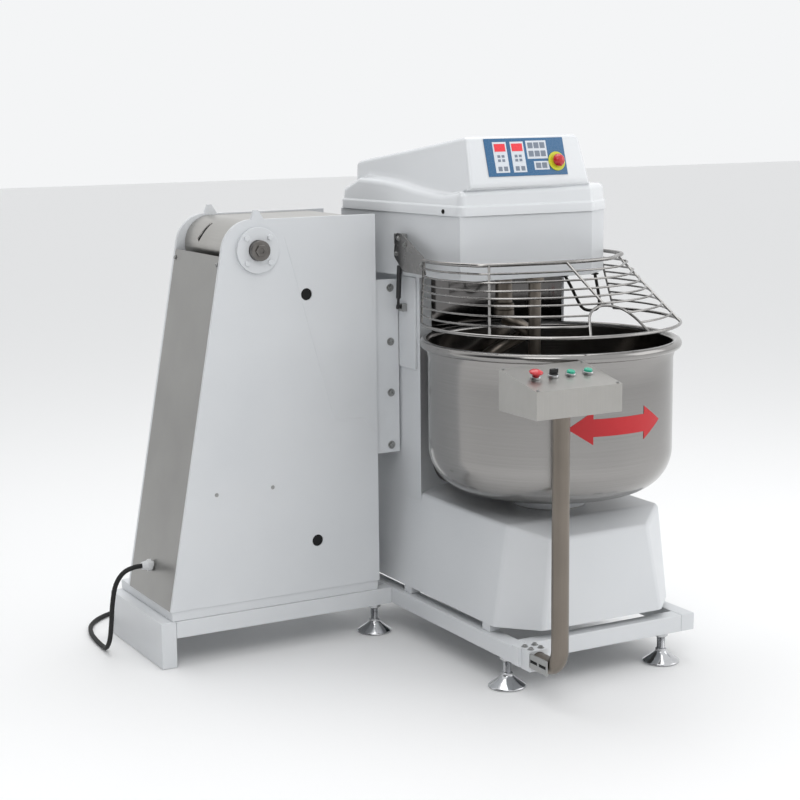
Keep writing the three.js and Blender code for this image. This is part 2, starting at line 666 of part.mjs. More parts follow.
function breakerBar(add) {
  const top = HEAD.bottom - GAP;
  const shaft = upright(BREAKER.x, BREAKER.y, BREAKER.bottom, top - 13, BREAKER.radius, 28);
  const flange = upright(BREAKER.x, BREAKER.y, top - 14, top, BREAKER.radius + 9, 28);
  add("breaker_bar", join(shaft, flange), POLISHED);
}

// A bent rod under the head that keeps dough off the guard's mouth.
function doughStop(add) {
  const y = -312;
  const top = HEAD.bottom - GAP;
  const corners = [[505, top], [562, 1075], [586, 1054], [626, 1050], [640, 1070], [620, top]];
  const nearFoot = upright(505, y, top - 6, top, 10, 12);
  const farFoot = upright(620, y, top - 6, top, 10, 12);
  const rod = tube(smoothThrough(corners.map(([x, z]) => [x, y, z - 3])), 4.5, 16, 6);
  add("dough_stop", join(rod, nearFoot, farFoot), DARK_STEEL);
}

// ---- wire guard ----
const topBarCurve = smoothThrough([
  [GUARD.left, -215, GUARD.barZ],
  [52, -310, GUARD.barZ],
  [86, -400, GUARD.barZ],
  [140, -457, GUARD.barZ],
  [BOWL.x, -500, GUARD.barZ],
  [545, -482, GUARD.barZ],
  [632, -412, GUARD.barZ],
  [694, -350, GUARD.barZ],
  [GUARD.right, -215, GUARD.barZ],
]);

// A point of the guard's sloped surface: across runs left to right, down from the top bar to the ring.
function guardPoint(across, down) {
  const top = topBarCurve.getPointAt(across);
  const degrees = GUARD_SWEEP.from + (GUARD_SWEEP.to - GUARD_SWEEP.from) * across;
  const angle = (degrees * Math.PI) / 180;
  const ring = new THREE.Vector3(
    BOWL.x + GUARD.ring * Math.cos(angle),
    BOWL.y + GUARD.ring * Math.sin(angle),
    GUARD.ringZ,
  );
  return top.lerp(ring, down).toArray();
}

function guardWire(down, from, to, radius, steps, sides = 4) {
  const points = [];
  const count = Math.max(4, Math.round((to - from) * 20));
  for (let i = 0; i <= count; i++) points.push(guardPoint(from + ((to - from) * i) / count, down));
  return tube(smoothThrough(points), radius, steps, sides);
}

// The mouth for adding flour: an arch of wire that stands on the ring.
const MOUTH = [[0.427, 1], [0.455, 0.73], [0.485, 0.625], [0.515, 0.61], [0.545, 0.67], [0.557, 0.8], [0.557, 1]];

// Each rib's place on the top bar, the place of its foot, and how far down that lies.
const RIBS = [[0, 0, 1], [0.265, 0.24, 1], [0.51, 0.51, 0.575], [0.915, 0.73, 1], [1, 1, 1]];

const GUARD_SIDE = [[-44, 1303], [-78, 1303], [-216, 1237], [-228, 1184], [-88, 1184], [-30, 1228], [-30, 1248]];

function guardSide(x0, x1) {
  const plate = plateYZ(outline(GUARD_SIDE), x0, x1);
  const pinHole = bar([x0 - 5, GUARD.hingeY, GUARD.hingeZ], [x1 + 5, GUARD.hingeY, GUARD.hingeZ], 6.4, 16);
  return cut(plate, pinHole);
}

function wireGuard(add) {
  const wires = [guardWire(0, 0, 1, 6, 18, 6), guardWire(1, 0, 1, 5, 24, 6)];
  const fullRows = [0.125, 0.25, 0.37, 0.475, 0.575];
  const brokenRows = [
    [0.72, 0.456, 0.553],
    [0.86, 0.44, 0.557],
  ];
  for (const down of fullRows) wires.push(guardWire(down, 0, 1, 3.2, 16));
  for (const [down, left, right] of brokenRows) {
    wires.push(guardWire(down, 0, left, 3.2, 10));
    wires.push(guardWire(down, right, 1, 3.2, 6));
  }
  for (const [across, foot, down] of RIBS) {
    const upper = guardPoint(across, 0);
    const lower = guardPoint(foot, down);
    wires.push(tube(new THREE.LineCurve3(new THREE.Vector3(...upper), new THREE.Vector3(...lower)), 4, 1, 4));
  }
  wires.push(tube(smoothThrough(MOUTH.map(([across, down]) => guardPoint(across, down))), 4, 12, 4));
  const left = guardSide(GUARD.left - 2, GUARD.left + 2);
  const right = guardSide(GUARD.right - 2, GUARD.right + 2);
  add("wire_guard", join(left, right, ...wires), CHROME);
}

function guardHinges(add) {
  const pin = (x0, x1) => bar([x0, GUARD.hingeY, GUARD.hingeZ], [x1, GUARD.hingeY, GUARD.hingeZ], 6, 16);
  const left = join(block(58, 73.6, -74, -46, 1273, 1301), pin(44, 60));
  const right = join(block(688.2, 700, -74, -46, 1273, 1301), pin(698, 714));
  add("guard_hinge_left", left, BRUSHED);
  add("guard_hinge_right", right, BRUSHED);
}

function gasSpring(add) {
  const foot = new THREE.Vector3(SPRING.x, SPRING.footY, SPRING.footZ);
  const head = new THREE.Vector3(SPRING.x, SPRING.topY, SPRING.topZ);
  const along = head.clone().sub(foot);
  const at = (share) => foot.clone().addScaledVector(along, share).toArray();
  const cylinder = join(
    cut(bar(at(0.07), at(0.8), SPRING.radius, 20), bar(at(0.25), at(0.9), 4.4, 16)),
    bar(at(-0.02), at(0.1), 4, 12),
    bar([SPRING.x - 6, SPRING.footY, SPRING.footZ], [SPRING.x + 7, SPRING.footY, SPRING.footZ], 7, 16),
  );
  add("gas_spring_cylinder", cylinder, BLACK_PLASTIC);
  const rod = join(
    bar(at(0.3), at(0.98), 4, 12),
    bar([SPRING.x - 6, SPRING.topY, SPRING.topZ], [SPRING.x + 6, SPRING.topY, SPRING.topZ], 7, 16),
  );
  add("gas_spring_rod", rod, CHROME);
  const x0 = SPRING.x + 7 + GAP;
  const mount = block(x0, COLUMN.left - 8 - GAP, SPRING.footY - 14, SPRING.footY + 14, 1053, 1077);
  add("gas_spring_mount", mount, BRUSHED);
}

// ---- remote control ----
// Up from the bend to the box, and back from the bend to its clamp on the frame.
function controlPole(add) {
  const { x, y, z, bend, top, radius } = POLE;
  const start = new THREE.Vector3(x, y + bend, z);
  const end = new THREE.Vector3(x, y, z + bend);
  const elbow = new THREE.QuadraticBezierCurve3(start, new THREE.Vector3(x, y, z), end);
  const foot = bar([x, FRAME_FRONT - 15, z], [x, y + bend - 1, z], radius, 16);
  const post = bar([x, y, z + bend - 1], [x, y, top], radius, 16);
  add("control_pole", join(foot, tube(elbow, radius, 6, 16), post), DARK_STEEL);
  const half = 31;
  const face = FRAME_FRONT - GAP;
  const socket = block(x - half, x + half, face - 78, face, z - half, z + half);
  const cheek = block(MIXER_LEFT - 4, x - half + 1, face - 34, face, RAIL_BOTTOM + 2, RAIL_TOP + 6);
  const bore = bar([x, FRAME_FRONT - 14, z], [x, FRAME_FRONT - 200, z], radius + 0.8, 32);
  add("pole_clamp", cut(join(socket, cheek), bore), WHITE_PAINT);
}

function controlBox(machine, mesh) {
  const { width, depth, front, back, sheet } = BOX;
  const station = new THREE.Group();
  station.position.set(BOX.x, POLE.y, BOX.z);
  machine.add(station);
  const wedge = (inset) => outline([
    [-depth / 2 + inset, inset],
    [depth / 2 - inset, inset],
    [depth / 2 - inset, back - inset],
    [-depth / 2 + inset, front - inset],
  ]);
  const lean = Math.atan2(back - front, depth);
  const lid = new THREE.Group();
  lid.position.z = (front + back) / 2;
  lid.rotation.x = lean;
  station.add(lid);
  const middle = (front + back) / 2;
  const into = [Math.sin(lean) * 30, -Math.cos(lean) * 30];
  const places = [0, 1, 2, 3].map((step) => BUTTONS.first + step * BUTTONS.pitch);
  const holes = places.map((x) => bar([x, into[0], middle + into[1]], [x, -into[0], middle - into[1]], BUTTON_HOLE, 16));
  const wireHole = upright(POLE.x - BOX.x, 0, -5, 10, 18);
  const shell = cut(
    plateYZ(wedge(0), -width / 2, width / 2),
    plateYZ(wedge(sheet), -width / 2 + sheet, width / 2 - sheet),
    wireHole,
    ...holes,
  );
  station.add(mesh("control_box", shell, BRUSHED));
  const place = (name, x, made, material) => {
    const control = mesh(name, made, material);
    control.position.x = x;
    lid.add(control);
  };
  place("box_emergency_stop", places[0], mushroom(20, 10, 18), RED_PLASTIC);
  const knob = join(upright(0, 0, -8, 8, 11), upright(0, 0, 1, 9, 14.5), block(-13, 13, -4, 4, 8, 20));
  place("selector_switch", places[1], knob, BLACK_PLASTIC);
  const pushButton = join(upright(0, 0, -8, 6, 11), upright(0, 0, 5, 12, 13.5));
  place("start_button", places[2], pushButton, GREEN_PLASTIC);
  place("tilt_button", places[3], pushButton, GREEN_PLASTIC);
}

// ---- mains lead ----
// Leaves the gland level, drops beside the skid and runs along the floor to the coil behind the tower.
function mainsLead(add) {
  const r = CORD / 2;
  const wallX = slopeX(GLAND.z);
  const nut = wallX - 5;
  const tip = wallX - GLAND.length;
  const gland = cut(
    join(
      bar([wallX + 9, GLAND.y, GLAND.z], [nut - 1, GLAND.y, GLAND.z], 11.8, 20),
      bar([nut, GLAND.y, GLAND.z], [nut - 12, GLAND.y, GLAND.z], 20, 6),
      bar([nut - 11, GLAND.y, GLAND.z], [tip, GLAND.y, GLAND.z], 16, 16, 12),
    ),
    bar([tip - 1, GLAND.y, GLAND.z], [tip + 6, GLAND.y, GLAND.z], r + 0.4, 24),
  );
  add("cable_gland", gland, WHITE_PLASTIC);
  const rest = r + 0.9;
  const path = [
    [tip + 5.5, GLAND.y, GLAND.z],
    [tip - 25, GLAND.y, GLAND.z - 1],
    [tip - 60, GLAND.y + 1, GLAND.z - 14],
    [tip - 86, GLAND.y + 3, GLAND.z - 50],
    [tip - 98, GLAND.y + 6, GLAND.z - 110],
    [tip - 102, GLAND.y + 12, GLAND.z - 175],
    [tip - 104, GLAND.y + 28, GLAND.z - 232],
    [tip - 104, GLAND.y + 62, GLAND.z - 266],
    [tip - 102, GLAND.y + 110, rest],
    [tip - 98, GLAND.y + 180, rest],
    [tip - 86, GLAND.y + 260, rest],
    [tip - 58, GLAND.y + 338, rest],
    [tip - 6, GLAND.y + 402, rest],
    [tip + 66, GLAND.y + 446, rest],
    [tip + 150, GLAND.y + 472, rest],
    [tip + 240, GLAND.y + 488, rest],
    [COIL.x - 60, COIL.y + COIL.outer - r + 0.4, rest],
    [COIL.x - 8, COIL.y + COIL.outer - r, rest],
  ];
  const entry = cutClearOfCoil(tube(smoothThrough(path), r, 40, 8));
  add("mains_cord", entry, BLACK_RUBBER);
  const coil = turned(COIL.x, COIL.y, [
    [COIL.inner, 0.1],
    [COIL.outer, 0.1],
    [COIL.outer, COIL.height + 0.1],
    [COIL.inner, COIL.height + 0.1],
    [COIL.inner, 0.1],
  ], 32);
  add("cord_coil", coil, BLACK_RUBBER);
  const plugX = COIL.x - COIL.outer + 8;
  const plugY = COIL.y - COIL.outer;
  const plugZ = PLUG.radius + 0.1;
  const plug = cutClearOfCoil(join(
    bar([plugX, plugY, plugZ], [plugX - PLUG.length, plugY, plugZ], PLUG.radius, 32),
    bar([plugX - 1, plugY, plugZ], [COIL.x - 36, plugY, plugZ], 15, 20, 9.5),
  ));
  add("mains_plug", plug, BLACK_RUBBER);
}

const cutClearOfCoil = (made) => cut(made, turned(COIL.x, COIL.y, [
  [0, -20],
  [COIL.outer + GAP, -20],
  [COIL.outer + GAP, COIL.height + 20],
  [0, COIL.height + 20],
], 40));

// ---- the machine ----
const machine = new THREE.Group();
machine.position.set(-PLAN_CENTRE.x, -PLAN_CENTRE.y, 0);
const add = (name, made, material) => machine.add(meshOf(name, made, material));

floorFrame(add);
levellingFeet(add);
towerPlates(add);
towerCover(add);
towerFittings(add);
tiltArm(add);
armCover(add);
lowerHousing(add);
column(add);
columnCovers(add);
headShell(add);
hood(add);
controlPanel(machine, meshOf);
headDrive(add);
bowlDrive(add);
bowl(add);
turntable(add);
spiralHook(add);
breakerBar(add);
doughStop(add);
wireGuard(add);
guardHinges(add);
gasSpring(add);
controlPole(add);
controlBox(machine, meshOf);
mainsLead(add);

const mixer = new THREE.Group();
mixer.add(machine);
export default mixer;
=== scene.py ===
"""Self-tipping spiral dough mixer: materials, sheet-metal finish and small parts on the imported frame."""

import math

import bpy
from bpy.props import FloatProperty, FloatVectorProperty, IntProperty, PointerProperty
from mathutils import Matrix, Vector


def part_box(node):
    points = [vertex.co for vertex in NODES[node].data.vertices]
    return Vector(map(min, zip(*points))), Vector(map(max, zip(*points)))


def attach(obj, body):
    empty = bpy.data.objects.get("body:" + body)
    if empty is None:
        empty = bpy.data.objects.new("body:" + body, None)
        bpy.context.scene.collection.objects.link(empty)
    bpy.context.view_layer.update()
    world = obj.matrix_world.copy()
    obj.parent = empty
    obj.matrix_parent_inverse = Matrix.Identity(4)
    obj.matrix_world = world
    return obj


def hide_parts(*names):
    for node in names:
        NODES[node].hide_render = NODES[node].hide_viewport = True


bl_info = {
    "name": "Tipping spiral mixer",
    "version": (1, 0, 0),
    "blender": (4, 5, 0),
    "location": "3D View > Sidebar > Mixer",
    "description": "Builds the visible pieces and finishes of a self-tipping spiral dough mixer",
    "category": "Object",
}

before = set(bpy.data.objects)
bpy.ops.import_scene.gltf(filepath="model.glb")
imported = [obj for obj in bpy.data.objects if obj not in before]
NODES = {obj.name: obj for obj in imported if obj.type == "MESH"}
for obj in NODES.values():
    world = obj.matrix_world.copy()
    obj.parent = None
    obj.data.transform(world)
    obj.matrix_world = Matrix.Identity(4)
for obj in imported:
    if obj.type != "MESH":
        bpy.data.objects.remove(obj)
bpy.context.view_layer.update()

# ---- the machine's own millimetre frame, as the design has it ----
PLAN_CENTRE = (10.5, -265.0)
BOWL = {"x": 378, "y": -421, "rim": 994, "radius": 400, "wall": 375, "floor": 528, "corner": 130, "sheet": 4}
TILT = {"x": -408, "z": 1269}
HEAD = {"bottom": 1168}
HOUSING = {"bottom": 169, "front": -715, "back": 300, "deck": 474, "step": 434}
COLUMN = {"concave": 420, "bottom": 478, "top": 1163}
POLE = {"x": 85, "y": -915, "z": 118, "radius": 25, "bend": 60, "top": 864.7}
BOX = {"x": 82, "depth": 190, "front": 78, "back": 117, "z": 865}
BUTTONS = {"first": -82, "pitch": 57.7}
PANEL = {"bottom": 1468, "top": 1604, "lean": 42}
HOOD_STOP = {"x": 460, "z": 1522}
GUARD = {"bar_z": 1228, "ring_z": 1042, "ring": 395, "left": 52, "right": 706}
SWEEP = (155, 385)
SPRING = {"x": 63, "top": (-45, 1238), "foot": (-30, 1067), "radius": 8}
HOOK = {"x": 366, "y": -176, "radius": 90, "bar": 21, "top": 1055, "bottom": 588, "turns": 1.4}
BREAKER = {"x": 387, "y": -322, "radius": 19.5, "bottom": 556}
GLAND = {"y": 198, "z": 281, "length": 36}
CORD = 15
COIL = {"x": -350, "y": 580, "outer": 97.5}
SLOPE = {"width": 723, "bottom": 176, "rise": 1059, "run": 192}


def at(x, y, z):
    """A point of the design, in the frame's metres."""
    return Vector(((x - PLAN_CENTRE[0]) / 1000, (y - PLAN_CENTRE[1]) / 1000, z / 1000))


def mm(value):
    return value / 1000


def slope_x(z):
    return -SLOPE["width"] + (z - SLOPE["bottom"]) * SLOPE["run"] / SLOPE["rise"]


def panel_y(z):
    return -345 + (z - PANEL["bottom"]) * PANEL["lean"] / (PANEL["top"] - PANEL["bottom"])


PANEL_LEAN = math.atan2(PANEL["lean"], PANEL["top"] - PANEL["bottom"])
LID_LEAN = math.atan2(BOX["back"] - BOX["front"], BOX["depth"])
LID_MIDDLE = BOX["z"] + (BOX["front"] + BOX["back"]) / 2


# ---- node materials ----
def linear(code):
    """An sRGB hex colour as linear RGBA."""
    parts = [int(code[i : i + 2], 16) / 255 for i in (1, 3, 5)]
    return [c / 12.92 if c <= 0.04045 else ((c + 0.055) / 1.055) ** 2.4 for c in parts] + [1.0]


def feed(tree, made, inputs):
    """Sets each named socket of a node to a value, or links it to another node's output."""
    for socket, value in inputs.items():
        if isinstance(value, bpy.types.NodeSocket):
            tree.links.new(value, made.inputs[socket])
        else:
            made.inputs[socket].default_value = value


def node(tree, kind, inputs=None, **properties):
    """Adds one node with its properties and sockets."""
    made = tree.nodes.new(kind)
    for name, value in properties.items():
        setattr(made, name, value)
    feed(tree, made, inputs or {})
    return made


def material(name):
    made = bpy.data.materials.new(name)
    made.use_nodes = True
    tree = made.node_tree
    return made, tree, tree.nodes["Principled BSDF"]


TONES = {"data_type": "RGBA"}
DARK, LIGHT, MIXED = 6, 7, 2  # the colour sockets of a mix node


def powder_coat():
    # Polyester powder coat on steel: sprayed and baked, so it is even, faintly orange-peeled and satin.
    made, tree, shader = material("white_powder_coat")
    place = node(tree, "ShaderNodeTexCoord").outputs["Object"]
    cloud = node(tree, "ShaderNodeTexNoise", {"Vector": place, "Scale": 3, "Detail": 3}).outputs["Fac"]
    peel = node(tree, "ShaderNodeTexNoise", {"Vector": place, "Scale": 420, "Detail": 2}).outputs["Fac"]
    tones = {"Factor": cloud, DARK: linear("#d3d6d9"), LIGHT: linear("#e0e2e4")}
    gloss = node(tree, "ShaderNodeMapRange", {"Value": cloud, "To Min": 0.28, "To Max": 0.44})
    relief = node(tree, "ShaderNodeBump", {"Height": peel, "Strength": 0.12, "Distance": mm(0.15)})
    feed(tree, shader, {
        "Base Color": node(tree, "ShaderNodeMix", tones, **TONES).outputs[MIXED],
        "Roughness": gloss.outputs["Result"],
        "Normal": relief.outputs["Normal"],
    })
    return made


def moulded_gloss():
    # Gel-coated glass-fibre moulding: a smooth white gloss with very slow waves from the mould.
    made, tree, shader = material("white_gel_coat")
    place = node(tree, "ShaderNodeTexCoord").outputs["Object"]
    cloud = node(tree, "ShaderNodeTexNoise", {"Vector": place, "Scale": 2, "Detail": 3}).outputs["Fac"]
    waves = node(tree, "ShaderNodeTexNoise", {"Vector": place, "Scale": 9, "Detail": 1}).outputs["Fac"]
    tones = {"Factor": cloud, DARK: linear("#dcdfe2"), LIGHT: linear("#e8eaec")}
    gloss = node(tree, "ShaderNodeMapRange", {"Value": waves, "To Min": 0.14, "To Max": 0.26})
    relief = node(tree, "ShaderNodeBump", {"Height": waves, "Strength": 0.12, "Distance": mm(1.5)})
    feed(tree, shader, {
        "Base Color": node(tree, "ShaderNodeMix", tones, **TONES).outputs[MIXED],
        "Roughness": gloss.outputs["Result"],
        "Normal": relief.outputs["Normal"],
        "Coat Weight": 0.4,
        "Coat Roughness": 0.08,
    })
    return made


def brushed_sheet(name, dark, light, stretch, rough=(0.24, 0.4)):
    # Stainless sheet ground with a belt: fine straight grain that spreads the shine across it.
    made, tree, shader = material(name)
    place = node(tree, "ShaderNodeTexCoord").outputs["Object"]
    drawn = node(tree, "ShaderNodeMapping", {"Vector": place, "Scale": stretch}).outputs["Vector"]
    grain = node(tree, "ShaderNodeTexNoise", {"Vector": drawn, "Scale": 1, "Detail": 6, "Roughness": 0.7})
    cloud = node(tree, "ShaderNodeTexNoise", {"Vector": place, "Scale": 6, "Detail": 3})
    both = node(tree, "ShaderNodeMath", {0: grain.outputs["Fac"], 1: cloud.outputs["Fac"], 2: 0.25},
                operation="MULTIPLY_ADD")
    tones = {"Factor": both.outputs["Value"], DARK: linear(dark), LIGHT: linear(light)}
    gloss = {"Value": grain.outputs["Fac"], "To Min": rough[0], "To Max": rough[1]}
    relief = {"Height": grain.outputs["Fac"], "Strength": 0.1, "Distance": mm(0.1)}
    feed(tree, shader, {
        "Base Color": node(tree, "ShaderNodeMix", tones, **TONES).outputs[MIXED],
        "Roughness": node(tree, "ShaderNodeMapRange", gloss).outputs["Result"],
        "Normal": node(tree, "ShaderNodeBump", relief).outputs["Normal"],
        "Metallic": 1,
    })
    return made


def spun_bowl():
    # Spun stainless: turned on a former and polished while it turns, so the grain runs round the bowl.
    made, tree, shader = material("spun_stainless")
    place = node(tree, "ShaderNodeTexCoord").outputs["Object"]
    drawn = node(tree, "ShaderNodeMapping", {"Vector": place, "Scale": (2, 2, 320)}).outputs["Vector"]
    rings = node(tree, "ShaderNodeTexNoise", {"Vector": drawn, "Scale": 1, "Detail": 5, "Roughness": 0.65})
    upright = node(tree, "ShaderNodeMapping", {"Vector": place, "Scale": (9, 9, 0.7)}).outputs["Vector"]
    dents = node(tree, "ShaderNodeTexNoise", {"Vector": upright, "Scale": 1, "Detail": 2})
    both = node(tree, "ShaderNodeMath", {0: dents.outputs["Fac"], 1: 40, 2: rings.outputs["Fac"]},
                operation="MULTIPLY_ADD")
    tones = {"Factor": rings.outputs["Fac"], DARK: linear("#8b8987"), LIGHT: linear("#a6a4a2")}
    gloss = {"Value": rings.outputs["Fac"], "To Min": 0.1, "To Max": 0.26}
    relief = {"Height": both.outputs["Value"], "Strength": 0.1, "Distance": mm(0.12)}
    feed(tree, shader, {
        "Base Color": node(tree, "ShaderNodeMix", tones, **TONES).outputs[MIXED],
        "Roughness": node(tree, "ShaderNodeMapRange", gloss).outputs["Result"],
        "Normal": node(tree, "ShaderNodeBump", relief).outputs["Normal"],
        "Metallic": 1,
    })
    return made


def solid(name, dark, light, gloss, scale, relief, metallic=0, coat=0.0):
    # Coloured through, plated or turned: one even colour with the fine marks of its tool.
    made, tree, shader = material(name)
    place = node(tree, "ShaderNodeTexCoord").outputs["Object"]
    marks = node(tree, "ShaderNodeTexNoise", {"Vector": place, "Scale": scale, "Detail": 4}).outputs["Fac"]
    tones = {"Factor": marks, DARK: linear(dark), LIGHT: linear(light)}
    shine = {"Value": marks, "To Min": gloss[0], "To Max": gloss[1]}
    bumps = {"Height": marks, "Strength": relief, "Distance": mm(0.12)}
    feed(tree, shader, {
        "Base Color": node(tree, "ShaderNodeMix", tones, **TONES).outputs[MIXED],
        "Roughness": node(tree, "ShaderNodeMapRange", shine).outputs["Result"],
        "Normal": node(tree, "ShaderNodeBump", bumps).outputs["Normal"],
        "Metallic": metallic,
        "Coat Weight": coat,
    })
    return made


def display_window():
    # A tinted acrylic window over lit segments: glossy, and bright in itself.
    made, tree, shader = material("red_display_window")
    place = node(tree, "ShaderNodeTexCoord").outputs["Object"]
    cells = node(tree, "ShaderNodeTexNoise", {"Vector": place, "Scale": 220, "Detail": 2}).outputs["Fac"]
    tones = {"Factor": cells, DARK: linear("#c32833"), LIGHT: linear("#e23c46")}
    glow = node(tree, "ShaderNodeMix", tones, **TONES).outputs[MIXED]
    feed(tree, shader, {
        "Base Color": glow,
        "Emission Color": glow,
        "Emission Strength": 0.35,
        "Roughness": 0.15,
    })
    return made


GRIND = {"sheet": (900, 6, 6), "cover": (700, 500, 5), "tube": (600, 600, 9)}

MATERIALS = {
    "white_paint": powder_coat(),
    "gloss_white": moulded_gloss(),
    "brushed_stainless": brushed_sheet("ground_stainless_sheet", "#9c9a96", "#c4c2be", GRIND["sheet"]),
    "upright_stainless": brushed_sheet("ground_stainless_cover", "#858482", "#a5a4a1", GRIND["cover"]),
    "bowl_stainless": spun_bowl(),
    "tube_stainless": brushed_sheet(
        "ground_stainless_tube", "#6e675f", "#938b82", GRIND["tube"], (0.28, 0.42)
    ),
    "mirror_stainless": solid("polished_stainless", "#666463", "#757372", (0.05, 0.11), 12, 0.02, 1),
    "wire_stainless": solid("stainless_wire", "#8a8886", "#a3a19f", (0.2, 0.32), 40, 0.05, 1),
    "chrome": solid("chromium_plate", "#c0c1c3", "#cfd0d2", (0.06, 0.16), 40, 0.05, 1),
    "machined_steel": solid("turned_steel", "#625f5c", "#85827f", (0.28, 0.42), 40, 0.1, 1),
    "dark_rod": solid("black_oxide_steel", "#2b2a29", "#3b3a38", (0.3, 0.45), 40, 0.1, 1),
    "zinc_steel": solid("zinc_plated_steel", "#9c9d9d", "#b6b6b4", (0.25, 0.4), 60, 0.1, 1),
    "motor_iron": solid("painted_cast_iron", "#37454f", "#46555f", (0.45, 0.6), 160, 0.4),
    "black_rubber": solid("black_rubber", "#151515", "#1f1f1f", (0.6, 0.8), 350, 0.25),
    "black_plastic": solid("black_polyamide", "#18181a", "#252526", (0.35, 0.5), 300, 0.2),
    "blue_film": solid("blue_polyester_film", "#245c88", "#2f6a97", (0.22, 0.32), 500, 0.06, 0, 0.3),
    "white_film": solid("white_polyester_film", "#d4dae2", "#e2e7ed", (0.25, 0.35), 500, 0.05, 0, 0.2),
    "grey_print": solid("grey_key_print", "#707a88", "#8791a0", (0.3, 0.4), 500, 0.05),
    "red_plastic": solid("red_polycarbonate", "#c01c27", "#d22c35", (0.18, 0.3), 200, 0.05, 0, 0.4),
    "yellow_plastic": solid("yellow_abs", "#cfd22e", "#dfe23e", (0.3, 0.42), 200, 0.05),
    "green_plastic": solid("green_polycarbonate", "#1aa083", "#2ab896", (0.2, 0.32), 200, 0.05, 0, 0.3),
    "grey_plastic": solid("white_polyamide", "#d4d6d7", "#e2e3e4", (0.4, 0.52), 300, 0.15),
    "red_vinyl": solid("red_vinyl_marking", "#b8141d", "#c51f28", (0.35, 0.48), 400, 0.04),
    "red_window": display_window(),
    # painted shade: a matt black for dark pieces set where holes and slots show only shade
    "shadow_black": solid("painted_shade_black", "#0b0b0c", "#131314", (0.8, 0.9), 300, 0.1),
}


# ---- modelling by operators ----
def deselect():
    bpy.ops.object.select_all(action="DESELECT")


def focus(obj):
    deselect()
    obj.select_set(True)
    bpy.context.view_layer.objects.active = obj


def settle(obj, name, kind, body, replaced=()):
    """Puts a finished piece's place in its mesh, gives it its finish and lets it ride."""
    focus(obj)
    bpy.ops.object.transform_apply(location=True, rotation=True, scale=True)
    obj.name = name
    obj.data.name = name
    obj.data.materials.clear()
    obj.data.materials.append(MATERIALS[kind])
    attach(obj, body)
    if replaced:
        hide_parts(*replaced)
    return obj


def smooth(obj, degrees=35):
    """Smooth shading up to an angle, with the large flats kept flat."""
    focus(obj)
    bpy.ops.object.shade_smooth_by_angle(angle=math.radians(degrees), keep_sharp_edges=True)
    flats = obj.modifiers.new("flats", "WEIGHTED_NORMAL")
    flats.keep_sharp = True
    bpy.ops.object.modifier_apply(modifier=flats.name)


def rounded(obj, radius, segments=3, degrees=28):
    """Rounds every edge that turns by more than an angle."""
    focus(obj)
    bevel = obj.modifiers.new("edges", "BEVEL")
    bevel.width = mm(radius)
    bevel.segments = segments
    bevel.limit_method = "ANGLE"
    bevel.angle_limit = math.radians(degrees)
    bevel.harden_normals = False
    bpy.ops.object.modifier_apply(modifier=bevel.name)


def new_mesh(name, vertices, faces=(), edges=()):
    mesh = bpy.data.meshes.new(name)
    mesh.from_pydata([tuple(v) for v in vertices], list(edges), list(faces))
    obj = bpy.data.objects.new(name, mesh)
    bpy.context.scene.collection.objects.link(obj)
    focus(obj)
    return obj


def clean(obj, distance=0.00002, outward=True):
    focus(obj)
    bpy.ops.object.mode_set(mode="EDIT")
    bpy.ops.mesh.select_all(action="SELECT")
    bpy.ops.mesh.remove_doubles(threshold=distance)
    if outward:
        bpy.ops.mesh.normals_make_consistent(inside=False)
    bpy.ops.object.mode_set(mode="OBJECT")


def softened(node_name, body, kind, radius=1.5, segments=2, name=None, degrees=28):
    """A copy of a sheet or block from the frame, with its flats joined up and its edges rounded."""
    source = NODES[node_name]
    mesh = source.data.copy()
    obj = bpy.data.objects.new(name or node_name + "_finish", mesh)
    bpy.context.scene.collection.objects.link(obj)
    focus(obj)
    bpy.ops.object.mode_set(mode="EDIT")
    bpy.ops.mesh.select_all(action="SELECT")
    bpy.ops.mesh.remove_doubles(threshold=0.00001)
    bpy.ops.mesh.dissolve_limited(angle_limit=math.radians(0.6))
    bpy.ops.object.mode_set(mode="OBJECT")
    rounded(obj, radius, segments, degrees)
    smooth(obj, 30)
    return settle(obj, name or node_name + "_finish", kind, body, [node_name])


def spun(profile, centre, axis, steps=64):
    """A profile of points turned once about an axis."""
    edges = [(i, i + 1) for i in range(len(profile) - 1)]
    obj = new_mesh("spun", profile, edges=edges)
    bpy.ops.object.mode_set(mode="EDIT")
    bpy.ops.mesh.select_all(action="SELECT")
    bpy.ops.mesh.spin(steps=steps, angle=2 * math.pi, center=centre, axis=axis)
    bpy.ops.mesh.select_all(action="SELECT")
    bpy.ops.mesh.remove_doubles(threshold=0.00002)
    bpy.ops.mesh.normals_make_consistent(inside=False)
    bpy.ops.object.mode_set(mode="OBJECT")
    return obj


def upright_spun(x, y, profile, steps=64):
    """A profile of [radius, height] in millimetres turned about an upright axis."""
    return spun([at(x + r, y, z) for r, z in profile], at(x, y, 0), (0, 0, 1), steps)


def catmull(points, per=8):
    """Evenly stepped points on a smooth curve through the given ones."""
    pts = [Vector(p) for p in points]
    out = []
    for i in range(len(pts) - 1):
        a = pts[i - 1] if i else pts[0] * 2 - pts[1]
        b, c = pts[i], pts[i + 1]
        d = pts[i + 2] if i + 2 < len(pts) else c * 2 - b
        for k in range(per):
            t = k / per
            part = (b * 2) + (c - a) * t + (a * 2 - b * 5 + c * 4 - d) * t * t
            out.append((part + (b * 3 - a - c * 3 + d) * t**3) / 2)
    return out + [pts[-1]]


